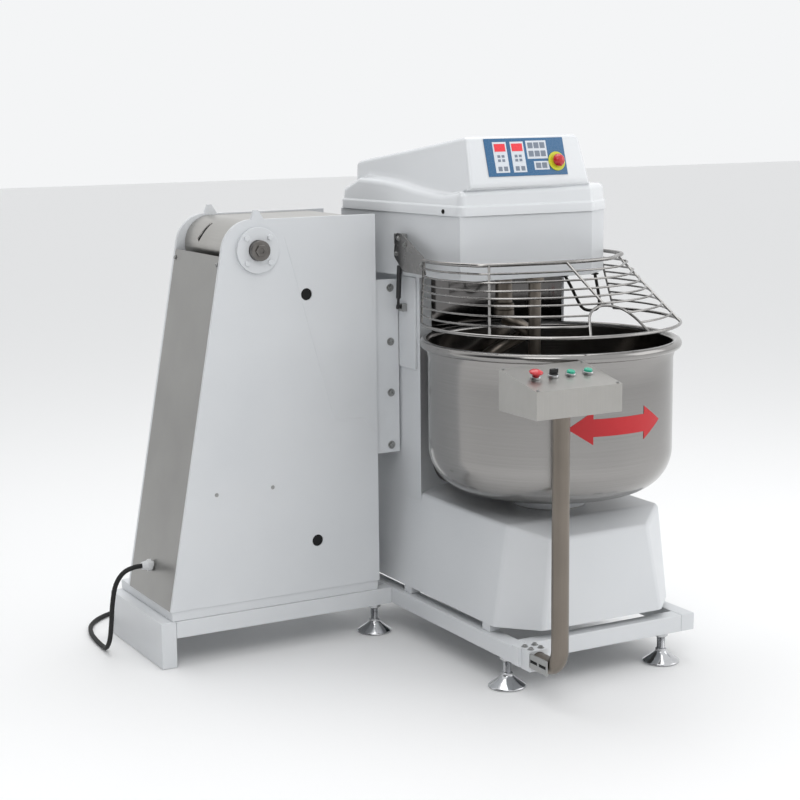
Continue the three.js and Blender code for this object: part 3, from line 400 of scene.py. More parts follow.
def tube(points, radius, sides=12):
    """A round tube with closed ends along points in the frame's metres, as a mesh."""
    curve = bpy.data.curves.new("tube", "CURVE")
    curve.dimensions = "3D"
    curve.use_fill_caps = True
    curve.bevel_depth = mm(radius)
    curve.bevel_resolution = max(0, sides // 4 - 1)
    spline = curve.splines.new("POLY")
    spline.points.add(len(points) - 1)
    for point, place in zip(spline.points, points):
        point.co = (*place, 1)
    obj = bpy.data.objects.new("tube", curve)
    bpy.context.scene.collection.objects.link(obj)
    focus(obj)
    bpy.ops.object.convert(target="MESH")
    return bpy.context.object


def joined(objs):
    focus(objs[0])
    for obj in objs[1:]:
        obj.select_set(True)
    bpy.ops.object.join()
    return bpy.context.object


def slab(centre, size, radius=1.0, segments=2, turn=None):
    """A box with rounded edges: centre in frame metres, size in millimetres, turned by a matrix."""
    deselect()
    bpy.ops.mesh.primitive_cube_add(size=1, location=(0, 0, 0))
    obj = bpy.context.object
    obj.scale = [mm(s) for s in size]
    bpy.ops.object.transform_apply(location=False, rotation=False, scale=True)
    rounded(obj, radius, segments)
    smooth(obj)
    placing = Matrix.Translation(centre) @ (turn.to_4x4() if turn else Matrix.Identity(4))
    obj.data.transform(placing)
    return obj


def facing(direction, up=(0, 0, 1)):
    """A turn that takes +Z to a direction."""
    z = Vector(direction).normalized()
    x = Vector(up).cross(z)
    if x.length < 1e-4:
        x = Vector((1, 0, 0))
    x.normalize()
    return Matrix((x, z.cross(x), z)).transposed()


def screw_head(radius, height, sides=6, washer=0.0):
    """A screw head with a socket, its bearing face at z = 0, modelled once for a group of copies."""
    deselect()
    middle = (0, 0, mm(height) / 2 + mm(washer))
    bpy.ops.mesh.primitive_cylinder_add(vertices=sides, radius=mm(radius), depth=mm(height), location=middle)
    obj = bpy.context.object
    bpy.ops.object.transform_apply(location=True, rotation=True, scale=True)
    bpy.ops.object.mode_set(mode="EDIT")
    bpy.ops.mesh.select_all(action="DESELECT")
    bpy.ops.object.mode_set(mode="OBJECT")
    for face in obj.data.polygons:
        face.select = face.normal.z > 0.9
    bpy.ops.object.mode_set(mode="EDIT")
    bpy.ops.mesh.inset(thickness=mm(radius * 0.45), depth=0)
    bpy.ops.mesh.extrude_region_move(TRANSFORM_OT_translate={"value": (0, 0, -mm(height * 0.55))})
    bpy.ops.object.mode_set(mode="OBJECT")
    rounded(obj, min(0.8, radius * 0.12), 2)
    if washer:
        deselect()
        low = (0, 0, mm(washer) / 2)
        wide = mm(radius * 1.45)
        bpy.ops.mesh.primitive_cylinder_add(vertices=28, radius=wide, depth=mm(washer), location=low)
        disc = bpy.context.object
        bpy.ops.object.transform_apply(location=True, rotation=True, scale=True)
        rounded(disc, washer * 0.3, 1)
        obj = joined([obj, disc])
    smooth(obj)
    return obj


def copies(master, places):
    """One object holding a copy of a master mesh at each (point, direction)."""
    made = []
    for point, direction in places:
        mesh = master.data.copy()
        mesh.transform(Matrix.Translation(point) @ facing(direction).to_4x4())
        obj = bpy.data.objects.new("copy", mesh)
        bpy.context.scene.collection.objects.link(obj)
        made.append(obj)
    bpy.data.objects.remove(master)
    return joined(made)


def screws(
    name, places, body, radius=5, height=3.5, sides=6, washer=1.0, kind="zinc_steel"
):
    obj = copies(screw_head(radius, height, sides, washer), places)
    return settle(obj, name, kind, body)


# ---- shapes that several pieces share ----
def outline_loop(corners, radii, per_corner=6, per_side=8):
    """A closed plan outline with rounded corners, as evenly matched points."""
    count = len(corners)
    pts = [Vector(c) for c in corners]
    loop = []
    for i in range(count):
        here, before, after = pts[i], pts[i - 1], pts[(i + 1) % count]
        a, b = (before - here).normalized(), (after - here).normalized()
        half = a.angle(b) / 2
        radius = radii[i]
        reach = radius / math.tan(half)
        middle = here + (a + b).normalized() * radius / math.sin(half)
        start, end = here + a * reach - middle, here + b * reach - middle
        sweep = start.angle_signed(end)
        for k in range(per_corner + 1):
            angle = -sweep * k / per_corner
            turned = Vector((start.x * math.cos(angle) - start.y * math.sin(angle),
                             start.x * math.sin(angle) + start.y * math.cos(angle)))
            loop.append(middle + turned)
        nxt = pts[(i + 1) % count]
        c, d = (here - nxt).normalized(), (pts[(i + 2) % count] - nxt).normalized()
        first, last = here + b * reach, nxt + c * radii[(i + 1) % count] / math.tan(c.angle(d) / 2)
        for k in range(1, per_side):
            loop.append(first.lerp(last, k / per_side))
    return loop


def lofted(name, loops, cap_last=True):
    """Quads between matched loops of frame points; the last loop can be closed with one flat face."""
    size = len(loops[0])
    vertices = [v for loop in loops for v in loop]
    faces = []
    for k in range(len(loops) - 1):
        for i in range(size):
            j = (i + 1) % size
            faces.append((k * size + i, k * size + j, (k + 1) * size + j, (k + 1) * size + i))
    if cap_last:
        faces.append(tuple((len(loops) - 1) * size + i for i in range(size)))
    obj = new_mesh(name, vertices, faces)
    clean(obj)
    return obj


def thickened(obj, thickness):
    focus(obj)
    wall = obj.modifiers.new("wall", "SOLIDIFY")
    wall.thickness = mm(thickness)
    wall.offset = -1
    bpy.ops.object.modifier_apply(modifier=wall.name)


def plate(points, thickness, corner=0.0):
    """A flat plate of frame points with rounded corners, thickened to both sides."""
    obj = new_mesh("plate", points, [tuple(range(len(points)))])
    if corner:
        bpy.ops.object.mode_set(mode="EDIT")
        bpy.ops.mesh.select_all(action="SELECT")
        bpy.ops.mesh.bevel(offset=mm(corner), segments=4, affect="VERTICES")
        bpy.ops.object.mode_set(mode="OBJECT")
    wall = obj.modifiers.new("wall", "SOLIDIFY")
    wall.thickness = mm(thickness)
    wall.offset = 0
    bpy.ops.object.modifier_apply(modifier=wall.name)
    rounded(obj, min(0.6, thickness * 0.3), 2, 50)
    smooth(obj)
    return obj


def in_panel(x, y, z=0.0):
    """A point of the hood's control panel: x to the right, y up it, z out of it."""
    c, s = math.cos(PANEL_LEAN), math.sin(PANEL_LEAN)
    base = at(352, panel_y(1538), 1538)
    return base + Vector((mm(x), mm(y * s - z * c), mm(y * c + z * s)))


def in_lid(x, y, z=0.0):
    """A point of the control box's lid: x to the right, y up it, z out of it."""
    c, s = math.cos(LID_LEAN), math.sin(LID_LEAN)
    return at(BOX["x"], POLE["y"], LID_MIDDLE) + Vector((mm(x), mm(y * c - z * s), mm(y * s + z * c)))


PANEL_OUT = (0, -math.cos(PANEL_LEAN), math.sin(PANEL_LEAN))
LID_OUT = (0, -math.sin(LID_LEAN), math.cos(LID_LEAN))
PANEL_TURN = Matrix.Rotation(math.pi / 2 - PANEL_LEAN, 3, "X")
LID_TURN = Matrix.Rotation(LID_LEAN, 3, "X")


def mushroom(place, direction, clear, height, radius=20):
    """A domed push button standing on its stem."""
    profile = [(0, -12), (9, -12), (9, clear), (radius * 0.72, clear), (radius * 0.94, clear + 1.2)]
    for k in range(9):
        angle = math.radians(4 + 86 * k / 8)
        profile.append((radius * math.cos(angle), clear + 4 + (height - 4) * math.sin(angle) ** 1.2))
    profile.append((0, clear + height))
    obj = spun([(mm(r), 0, mm(z)) for r, z in profile], (0, 0, 0), (0, 0, 1), 40)
    obj.data.transform(Matrix.Translation(place) @ facing(direction).to_4x4())
    smooth(obj)
    return obj


def ring(place, direction, inner, outer, low, high, edge=0.6, steps=40):
    """A flat ring with eased edges, standing on a surface."""
    profile = [(inner, low), (outer - edge, low), (outer, low + edge)]
    profile += [(outer, high - edge), (outer - edge, high)]
    profile += [(inner + edge, high), (inner, high - edge), (inner, low)]
    obj = spun([(mm(r), 0, mm(z)) for r, z in profile], (0, 0, 0), (0, 0, 1), steps)
    obj.data.transform(Matrix.Translation(place) @ facing(direction).to_4x4())
    smooth(obj)
    return obj


# ---- user settings ----
class MixerSettings(bpy.types.PropertyGroup):
    """Sizes that a maker would change"""

    edge: FloatProperty(
        name="Folded edge", description="Radius of folded sheet edges", default=mm(3), unit="LENGTH"
    )
    hood_corner: FloatProperty(
        name="Hood corner", description="Corner radius of the hood", default=mm(24), unit="LENGTH"
    )
    wire: FloatProperty(
        name="Guard wire", description="Radius of the thin guard wires", default=mm(3.2), unit="LENGTH"
    )
    bowl_steps: IntProperty(name="Bowl steps", description="Steps round the bowl", default=128, min=24)
    floor_colour: FloatVectorProperty(
        name="Floor",
        description="Colour of the studio floor",
        default=linear("#f6f6f6")[:3],
        size=3,
        subtype="COLOR",
    )


def settings():
    return bpy.context.scene.mixer_settings


# ---- one operator for each piece or group ----
class MIXER_OT_floor_frame(bpy.types.Operator):
    """Skid, beams and rails of painted tube, with the rest pads that the housing lands on"""

    bl_idname = "mixer.floor_frame"
    bl_label = "Floor frame"

    def execute(self, context):
        edge = settings().edge * 1000
        for name in ("tower_beam", "rear_beam", "left_rail", "right_rail", "front_rail", "left_skid"):
            softened(name, "frame", "white_paint", edge, 3)
        softened("tower_base", "frame", "white_paint", 2, 2)
        pads = [slab(at(x, y, 157), (34, 44, 23), 1.5) for x in (77, 679) for y in (-560, -80)]
        settle(joined(pads), "rest_pads", "white_paint", "frame")
        return {"FINISHED"}


class MIXER_OT_feet(bpy.types.Operator):
    """Levelling feet: a plated cone on a threaded stem with its lock nut"""

    bl_idname = "mixer.feet"
    bl_label = "Levelling feet"

    def execute(self, context):
        for place in ("front_left", "front_right", "inner", "rear_inner", "rear_right"):
            name = "foot_" + place
            low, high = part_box(name)
            x = (low.x + high.x) * 500 + PLAN_CENTRE[0]
            y = (low.y + high.y) * 500 + PLAN_CENTRE[1]
            profile = [(0, 0), (55, 0), (57, 1.5), (57, 4.5), (55, 7), (40, 17), (26, 27), (19, 33), (17, 37)]
            profile += [(17, 42), (15, 44), (12, 45)]
            for k in range(12):
                z = 47 + 3 * k
                profile += [(13, z), (11.6, z + 1.5)]
            profile += [(11.6, 91), (0, 91)]
            foot = upright_spun(x, y, profile, 48)
            smooth(foot, 40)
            nut = screw_head(21, 10, 6)
            nut.data.transform(Matrix.Translation(at(x, y, 81.5)))
            settle(joined([foot, nut]), name + "_finish", "chrome", "frame", [name])
        return {"FINISHED"}


class MIXER_OT_tower(bpy.types.Operator):
    """Tower plates, stainless back cover, weld seam, screws and what stands inside"""

    bl_idname = "mixer.tower"
    bl_label = "Tower"

    def execute(self, context):
        softened("tower_front_plate", "frame", "white_paint", 1.2, 2)
        softened("tower_rear_plate", "frame", "white_paint", 1.2, 2)
        softened("tower_back_cover", "frame", "upright_stainless", 0.8, 2)
        softened("motor_flange", "frame", "white_paint", 1.5, 2)
        softened("tilt_gearmotor", "frame", "motor_iron", 4, 3)
        softened("electrical_cabinet", "frame", "white_paint", 3, 3)
        bead = [(-314, 1304), (-235, 1017), (-156, 732), (-149, 722)]
        bead += [(-136, 718), (-63, 718), (-50, 714), (-10, 664)]
        seam = tube([at(x, -0.2, z) for x, z in bead], 0.9, 8)
        smooth(seam)
        settle(seam, "tower_weld_seam", "white_paint", "frame")
        hole_shade_discs = []
        # painted shade: dark discs set behind the two holes stand for the shade inside them
        for x, z in ((-243, 1124), (-220, 338)):
            hole_shade_discs.append(ring(at(x, 6, z), (0, -1, 0), 0.3, 18.9, 0, 2, 0.4, 32))
        settle(joined(hole_shade_discs), "tower_hole_shade_discs", "shadow_black", "frame")
        out = (-SLOPE["rise"], 0, SLOPE["run"])
        places = [(at(slope_x(z) - 0.2, y, z), out) for z in (1228,) for y in (20, 352)]
        screws("back_cover_screws", places, "frame", 6, 3.2, 24)
        face = [(at(x, -0.1, z), (0, -1, 0)) for x, z in ((-562, 526), (-373, 528))]
        screws("tower_plate_screws", face, "frame", 4.5, 2.2, 24, 0.5)
        return {"FINISHED"}


class MIXER_OT_tilt_bearing(bpy.types.Operator):
    """Front bearing flange, and the nut on the end of the tilt shaft"""

    bl_idname = "mixer.tilt_bearing"
    bl_label = "Tilt bearing"

    def execute(self, context):
        softened("bearing_flange_front", "frame", "white_paint", 1.5, 3)
        face = at(TILT["x"], -30, TILT["z"])
        softened("tilt_shaft", "mixer", "machined_steel", 1.2, 2)
        collar = ring(face, (0, -1, 0), 13, 31, 0, 3, 1)
        nut = ring(face, (0, -1, 0), 8, 19, 3, 8, 0.8, 6)
        centre = ring(face, (0, -1, 0), 0.3, 7.6, 0, 6, 0.8, 24)
        settle(joined([collar, nut, centre]), "tilt_shaft_nut", "machined_steel", "mixer")
        return {"FINISHED"}


class MIXER_OT_tilt_arm(bpy.types.Operator):
    """The arm with the bolts of its flange, and the sheet that wraps the tilt axis"""

    bl_idname = "mixer.tilt_arm"
    bl_label = "Tilt arm"

    def execute(self, context):
        softened("tilt_arm", "mixer", "white_paint", 2, 3)
        softened("arm_cover", "mixer", "brushed_stainless", 0.6, 2, degrees=40)
        places = [(at(58, 14, z), (0, -1, 0)) for z in (1125, 952, 787, 616)]
        screws("arm_flange_bolts", places, "mixer", 9, 6, 6, 2)
        return {"FINISHED"}


class MIXER_OT_lower_housing(bpy.types.Operator):
    """The folded housing under the bowl: drafted walls, sloped front band and flat deck"""

    bl_idname = "mixer.lower_housing"
    bl_label = "Lower housing"

    def execute(self, context):
        low, deck, step = HOUSING["bottom"], HOUSING["deck"], HOUSING["step"]
        back, front = HOUSING["back"], HOUSING["front"]
        base = [(58, back), (58, -606), (162, front), (594, front), (698, -606), (698, back)]
        top = [(100, back, deck), (100, -612, deck), (203, front + 21, step)]
        top += [(553, front + 21, step), (656, -612, deck), (656, back, deck)]
        vertices = [at(x, y, low) for x, y in base] + [at(*p) for p in top]
        faces = [(i, (i + 1) % 6, 6 + (i + 1) % 6, 6 + i) for i in range(6)]
        faces += [(6, 7, 10, 11), (7, 8, 9, 10)]
        shell = new_mesh("housing", vertices, faces)
        clean(shell)
        rounded(shell, 11, 5, 12)
        thickened(shell, 4)
        smooth(shell, 40)
        settle(shell, "base_housing_finish", "white_paint", "mixer", ["base_housing"])
        softened("bowl_motor", "mixer", "motor_iron", 3, 2)
        return {"FINISHED"}


class MIXER_OT_column(bpy.types.Operator):
    """The column, its proud side cover and the polished cover that bends round the bowl"""

    bl_idname = "mixer.column"
    bl_label = "Column"

    def execute(self, context):
        softened("column", "mixer", "white_paint", 4, 3)
        softened("column_side_cover", "mixer", "white_paint", 2, 3)
        sheet_radius = COLUMN["concave"] - 2
        low, high = COLUMN["bottom"], COLUMN["top"]
        start, end = math.radians(120), math.radians(51)
        width = (start - end) * sheet_radius
        corner = 105
        points = [(corner, low), (width, low), (width, high), (0, high), (0, low + corner)]
        for k in range(1, 8):
            angle = math.pi + math.pi / 2 * k / 8
            points.append((corner + corner * math.cos(angle), low + corner + corner * math.sin(angle)))
        flat = new_mesh("cover", [(mm(u), 0, mm(z)) for u, z in points], [tuple(range(len(points)))])
        bpy.ops.object.mode_set(mode="EDIT")
        for k in range(1, 40):
            bpy.ops.mesh.select_all(action="SELECT")
            bpy.ops.mesh.bisect(plane_co=(mm(width * k / 40), 0, 0), plane_no=(1, 0, 0))
        bpy.ops.object.mode_set(mode="OBJECT")
        for vertex in flat.data.vertices:
            angle = start - vertex.co.x * 1000 / sheet_radius
            x = BOWL["x"] + sheet_radius * math.cos(angle)
            y = BOWL["y"] + sheet_radius * math.sin(angle)
            vertex.co = at(x, y, vertex.co.z * 1000)
        wall = flat.modifiers.new("wall", "SOLIDIFY")
        wall.thickness = mm(2.4)
        wall.offset = 0
        bpy.ops.object.modifier_apply(modifier=wall.name)
        smooth(flat, 30)
        stands_for = ["column_front_cover"]
        settle(flat, "column_front_cover_finish", "mirror_stainless", "mixer", stands_for)
        return {"FINISHED"}


class MIXER_OT_head(bpy.types.Operator):
    """The folded head shell, the main motor in it and the dough stop under it"""

    bl_idname = "mixer.head"
    bl_label = "Head"

    def execute(self, context):
        softened("head_shell", "mixer", "white_paint", 1.9, 3)
        softened("main_motor", "mixer", "motor_iron", 4, 3)
        softened("spindle_bearing_housing", "mixer", "motor_iron", 2, 2)
        top = HEAD["bottom"] - 1
        path = [(505, top), (530, 1128), (560, 1076), (578, 1056), (600, 1049), (624, 1050), (637, 1062)]
        path += [(638, 1086), (630, 1126), (620, top)]
        rod = tube(catmull([at(x, -312, z) for x, z in path], 5), 5, 12)
        feet = [ring(at(x, -312, top), (0, 0, -1), 4.8, 13, 0, 5, 1, 24) for x in (505, 620)]
        smooth(rod)
        stop = joined([rod] + feet)
        settle(stop, "dough_stop_finish", "dark_rod", "mixer", ["dough_stop"])
        return {"FINISHED"}


HEAD_PLAN = [(34, 300), (108, -338), (580, -352), (682, -272), (694, 300)]
COWL_BASE = [(80, 284), (139, -345), (572, -345), (584, -262), (630, 284)]
COWL_TOP = [(84, 284), (150, -303), (558, -303), (568, -236), (624, 284)]
SHOULDER = [(-360, 1447), (-330, 1440), (-290, 1428), (-235, 1426)]
SHOULDER += [(-140, 1434), (-20, 1452), (90, 1463), (200, 1466)]


def shoulder_height(y):
    """Height of the hood's shoulder along its sides: low behind the front step, high towards the rear."""
    if y >= SHOULDER[-1][0]:
        return SHOULDER[-1][1]
    for (y0, z0), (y1, z1) in zip(SHOULDER, SHOULDER[1:]):
        if y <= y1:
            t = max(0, (y - y0) / (y1 - y0))
            t = t * t * (3 - 2 * t)
            return z0 + (z1 - z0) * t
    return SHOULDER[0][1]


def widened(corners, grow):
    """A polygon with every side moved outwards."""
    pts = [Vector(c) for c in corners]
    count = len(pts)
    out = []
    for i in range(count):
        a = (pts[i] - pts[i - 1]).normalized()
        b = (pts[(i + 1) % count] - pts[i]).normalized()
        na, nb = Vector((-a.y, a.x)), Vector((-b.y, b.x))
        middle = (na + nb).normalized()
        out.append(pts[i] - middle * grow / middle.dot(na))
    return out


class MIXER_OT_hood(bpy.types.Operator):
    """The moulded hood: lip, flowing shoulder and the cowl that leans back as a control panel"""

    bl_idname = "mixer.hood"
    bl_label = "Hood"

    def execute(self, context):
        corner = settings().hood_corner * 1000
        radii = [corner, corner, corner, corner, corner]
        cowl_radii = [16, 13, 13, 20, 16]
        plan = {}
        for grow in (6, 4, 1, 0, -2, -5, -12):
            plan[grow] = outline_loop(widened(HEAD_PLAN, grow), [r + grow for r in radii])
        low = outline_loop(COWL_BASE, cowl_radii)
        high = outline_loop(COWL_TOP, cowl_radii)

        def cowl(i, z):
            share = (z - PANEL["bottom"]) / (PANEL["top"] - PANEL["bottom"])
            return low[i].lerp(high[i], share) if share >= 0 else low[i] + (high[i] - low[i]) * share

        def ridge(i):
            return 1604 - (high[i].y + 303) * 88 / 587

        size = len(low)
        shoulder = [shoulder_height(plan[0][i].y) for i in range(size)]
        for i in range(size):
            if plan[0][i].x > 500:
                shoulder[i] = max(shoulder[i], 1447 - max(0, plan[0][i].y + 250) * 0.02)
            if plan[0][i].y > 270:
                shoulder[i] -= 30
        loops = [[at(*plan[6][i], 1366.3) for i in range(size)]]
        loops.append([at(*plan[6][i], 1391) for i in range(size)])
        loops.append([at(*plan[4][i], 1395.5) for i in range(size)])
        loops.append([at(*plan[1][i], 1397.5) for i in range(size)])
        loops.append([at(*plan[0][i], 1400) for i in range(size)])
        loops.append([at(*plan[-2][i], shoulder[i] - 16) for i in range(size)])
        loops.append([at(*plan[-5][i], shoulder[i] - 6) for i in range(size)])
        loops.append([at(*plan[-12][i], shoulder[i] - 0.5) for i in range(size)])
        for share, rise in ((0.35, 2), (0.75, 5), (0.94, 11)):
            loop = []
            for i in range(size):
                z = shoulder[i] + rise
                p = plan[-12][i].lerp(cowl(i, max(z, 1456)), share)
                loop.append(at(p.x, p.y, z))
            loops.append(loop)
        loops.append([at(*cowl(i, shoulder[i] + 24), shoulder[i] + 24) for i in range(size)])
        loops.append([at(*cowl(i, ridge(i) - 14), ridge(i) - 14) for i in range(size)])
        centre = Vector((354, 0))
        for shrink, drop in ((3, 7), (8, 2.4), (14, 0.4), (22, 0)):
            loop = []
            for i in range(size):
                p = cowl(i, ridge(i))
                p = p + (centre - p).normalized() * shrink
                loop.append(at(p.x, p.y, 1604 - (p.y + 303) * 88 / 587 - drop))
            loops.append(loop)
        shell = lofted("hood", loops)
        thickened(shell, 4)
        smooth(shell, 50)
        settle(shell, "hood_finish", "gloss_white", "mixer", ["hood"])
        y = -264
        x = 34 + (300 - y) * (108 - 34) / 638 - 6
        screws("hood_screw", [(at(x - 0.4, y, 1379), (-1, -0.116, 0))], "mixer", 5, 2.5, 24, 1, "dark_rod")
        return {"FINISHED"}


class MIXER_OT_control_fascia(bpy.types.Operator):
    """Blue film with display windows and keys, and the emergency stop on its yellow disc"""

    bl_idname = "mixer.control_fascia"
    bl_label = "Control fascia"

    def execute(self, context):
        softened("control_fascia", "mixer", "blue_film", 0.7, 2)
        width, height = 286, 118

        def tile(left, right, top, bottom, level, thick=0.5):
            middle = ((left + right - width) / 2, (height - top - bottom) / 2)
            return slab(in_panel(*middle, level), (right - left, bottom - top, thick), 0.2, 1, PANEL_TURN)

        fields = [(28, 77, 11, 107), (91, 139, 11, 107), (148, 222, 9, 66), (168, 222, 74, 101)]
        settle(joined([tile(*f, 2.4) for f in fields]), "fascia_fields", "white_film", "mixer")
        windows = [(33, 72, 17, 41), (95, 134, 17, 41)]
        displays = joined([tile(*w, 2.9, 0.8) for w in windows])
        settle(displays, "display_windows", "red_window", "mixer")
        keys = []
        for left in (33, 95):
            keys += [(left + 4 + k * 20, left + 18 + k * 20, 88, 102) for k in (0, 1)]
            for k in (0, 1):
                across = left + 7 + k * 15
                keys += [(across, across + 10, 52 + j * 13, 60 + j * 13) for j in (0, 1)]
        keys += [(154 + k * 22, 172 + k * 22, 15 + j * 26, 33 + j * 26) for k in (0, 1, 2) for j in (0, 1)]
        keys += [(174 + k * 22, 192 + k * 22, 79, 96) for k in (0, 1)]
        settle(joined([tile(*k, 2.9, 0.7) for k in keys]), "fascia_keys", "grey_print", "mixer")
        stop = (HOOD_STOP["x"] - 352, (HOOD_STOP["z"] - 1538) / math.cos(PANEL_LEAN))
        disc = ring(in_panel(*stop), PANEL_OUT, 13, 30, 2.3, 5.5, 0.8)
        collar = ring(in_panel(*stop), PANEL_OUT, 10.5, 15, 2.3, 5.8, 0.8)
        settle(joined([disc, collar]), "emergency_stop_disc", "yellow_plastic", "mixer")
        head = mushroom(in_panel(*stop), PANEL_OUT, 12, 20)
        body = "hood_emergency_stop"
        settle(head, "hood_stop_head", "red_plastic", body, ["hood_emergency_stop"])
        return {"FINISHED"}


class MIXER_OT_bowl(bpy.types.Operator):
    """The spun bowl with its rolled rim, the red turning mark on it and the turntable under it"""

    bl_idname = "mixer.bowl"
    bl_label = "Bowl"

    def execute(self, context):
        wall, floor, corner, sheet = BOWL["wall"], BOWL["floor"], BOWL["corner"], BOWL["sheet"]
        roll = (BOWL["radius"] - wall + sheet) / 2
        rim = (BOWL["radius"] - roll, BOWL["rim"] - roll)

        def arc(centre, radius, start, end, count):
            angles = [math.radians(start + (end - start) * k / count) for k in range(count + 1)]
            return [(centre[0] + radius * math.cos(a), centre[1] + radius * math.sin(a)) for a in angles]

        bend = (wall - corner, floor + corner)
        profile = [(0, floor), (120, floor)] + arc(bend, corner, -90, 0, 16)
        profile += [(wall, z) for z in (700, 760, 820, 880, 940)]
        profile += arc(rim, roll, -100, 180, 20)
        profile += [(wall - sheet, z) for z in (940, 880, 820, 760, 700)]
        profile += arc(bend, corner - sheet, 0, -90, 16) + [(120, floor + sheet), (0, floor + sheet)]
        bowl = upright_spun(BOWL["x"], BOWL["y"], profile, settings().bowl_steps)
        smooth(bowl, 50)
        settle(bowl, "bowl_finish", "bowl_stainless", "bowl", ["bowl"])
        self.turning_mark(wall + 0.7)
        dress("bowl_turntable", "brushed_stainless")
        # painted shade: a black ring under the bowl stands for the dark gap between the turntable and the
        # bowl base
        band = ring(at(BOWL["x"], BOWL["y"], 0), (0, 0, 1), 96, 101, 501, 527, 1, 64)
        settle(band, "turntable_gap_shade", "black_rubber", "bowl")
        edge = ring(at(BOWL["x"], BOWL["y"], 0), (0, 0, 1), 110, 114, 476, 499, 1.5, 72)
        settle(edge, "turntable_edge_ring", "white_paint", "bowl")
        return {"FINISHED"}

    def turning_mark(self, radius):
        """A double arrow of red vinyl round the bowl's side."""
        middle, height = math.radians(-90.5), 775
        tip, neck, tall, thin = 168, 90, 50, 26
        half = [(-tip, 0), (-neck, tall), (-neck, thin), (neck, thin), (neck, tall), (tip, 0)]
        points = half + [(s, -h) for s, h in reversed(half[1:-1])]
        mark = new_mesh("mark", [(mm(s), 0, mm(h)) for s, h in points], [tuple(range(len(points)))])
        bpy.ops.object.mode_set(mode="EDIT")
        for k in range(1, 32):
            bpy.ops.mesh.select_all(action="SELECT")
            bpy.ops.mesh.bisect(plane_co=(mm(-tip + tip * k / 16), 0, 0), plane_no=(1, 0, 0))
        bpy.ops.object.mode_set(mode="OBJECT")
        for vertex in mark.data.vertices:
            angle = middle + vertex.co.x * 1000 / radius
            x = BOWL["x"] + radius * math.cos(angle)
            y = BOWL["y"] + radius * math.sin(angle)
            vertex.co = at(x, y, height + vertex.co.z * 1000)
        wall = mark.modifiers.new("wall", "SOLIDIFY")
        wall.thickness = mm(0.5)
        wall.offset = 0
        bpy.ops.object.modifier_apply(modifier=wall.name)
        smooth(mark)
        settle(mark, "turning_mark", "red_vinyl", "bowl")


def dress(node_name, kind):
    """Gives a node of the frame its finish."""
    mesh = NODES[node_name].data
    mesh.materials.clear()
    mesh.materials.append(MATERIALS[kind])


class MIXER_OT_mixing_tools(bpy.types.Operator):
    """Spiral hook on its spindle, with the bolts of its flange, and the breaker bar"""

    bl_idname = "mixer.mixing_tools"
    bl_label = "Mixing tools"

    def execute(self, context):
        x0, y0 = HOOK["x"], HOOK["y"]
        points = []
        for i in range(27):
            share = i / 26
            angle = math.radians(-60 + 360 * HOOK["turns"] * share)
            swing = math.sin(min(1, share / 0.16) * math.pi / 2)
            reach = (HOOK["radius"] - 140 * max(0, share - 0.7)) * swing
            z = HOOK["top"] - 25 + (HOOK["bottom"] - HOOK["top"] + 25) * share
            points.append(at(x0 + reach * math.cos(angle), y0 + reach * math.sin(angle), z))
        bar = tube(catmull(points, 5), HOOK["bar"], 24)
        clean(bar)
        rounded(bar, 9, 4, 60)
        smooth(bar, 45)
        flange = ring(at(x0, y0, 0), (0, 0, 1), 0.5, 33, HOOK["top"] - 20, HOOK["top"], 2, 48)
        hook = joined([bar, flange])
        settle(hook, "spiral_hook_finish", "tube_stainless", "spiral", ["spiral_hook"])
        upper = [(0, 1055.3), (31, 1055.3), (33, 1057), (33, 1074), (31, 1076), (27, 1078)]
        upper += [(27, 1405), (108, 1405), (110, 1407)]
        upper += [(110 - 6 * (k % 2), 1409 + 3.2 * k) for k in range(9)] + [(108, 1439), (0, 1439)]
        spindle = upright_spun(x0, y0, upper, 64)
        smooth(spindle)
        settle(spindle, "spindle_finish", "tube_stainless", "spiral", ["spindle"])
        around = [math.radians(60 * k) for k in range(6)]
        places = [(at(x0 + 25 * math.cos(a), y0 + 25 * math.sin(a), 1035), (0, 0, -1)) for a in around]
        screws("hook_flange_bolts", places, "spiral", 4.5, 4, 6, 0.6)
        x, y, r, low = BREAKER["x"], BREAKER["y"], BREAKER["radius"], BREAKER["bottom"]
        profile = [(0, low), (r - 7, low), (r - 2, low + 2), (r, low + 7), (r, 1152)]
        profile += [(28, 1153.5), (29, 1155)]
        profile += [(29, 1166), (28, 1167.5), (0, 1167.5)]
        breaker = upright_spun(x, y, profile, 48)
        smooth(breaker)
        settle(breaker, "breaker_bar_finish", "tube_stainless", "mixer", ["breaker_bar"])
        return {"FINISHED"}


TOP_BAR = [(52, -215), (52, -310), (86, -400), (140, -457), (378, -500)]
TOP_BAR += [(545, -482), (632, -412), (694, -350), (706, -215)]
ROWS = [(down, 1, 1) for down in (0.125, 0.25, 0.37, 0.475, 0.575)]
ROWS += [(0.72, 0.456, 0.553), (0.86, 0.44, 0.557)]
RIBS = [(0, 0, 1), (0.265, 0.24, 1), (0.51, 0.51, 0.575), (0.915, 0.73, 1), (1, 1, 1)]
MOUTH = [(0.427, 1), (0.455, 0.73), (0.485, 0.625), (0.515, 0.61), (0.545, 0.67), (0.557, 0.8), (0.557, 1)]


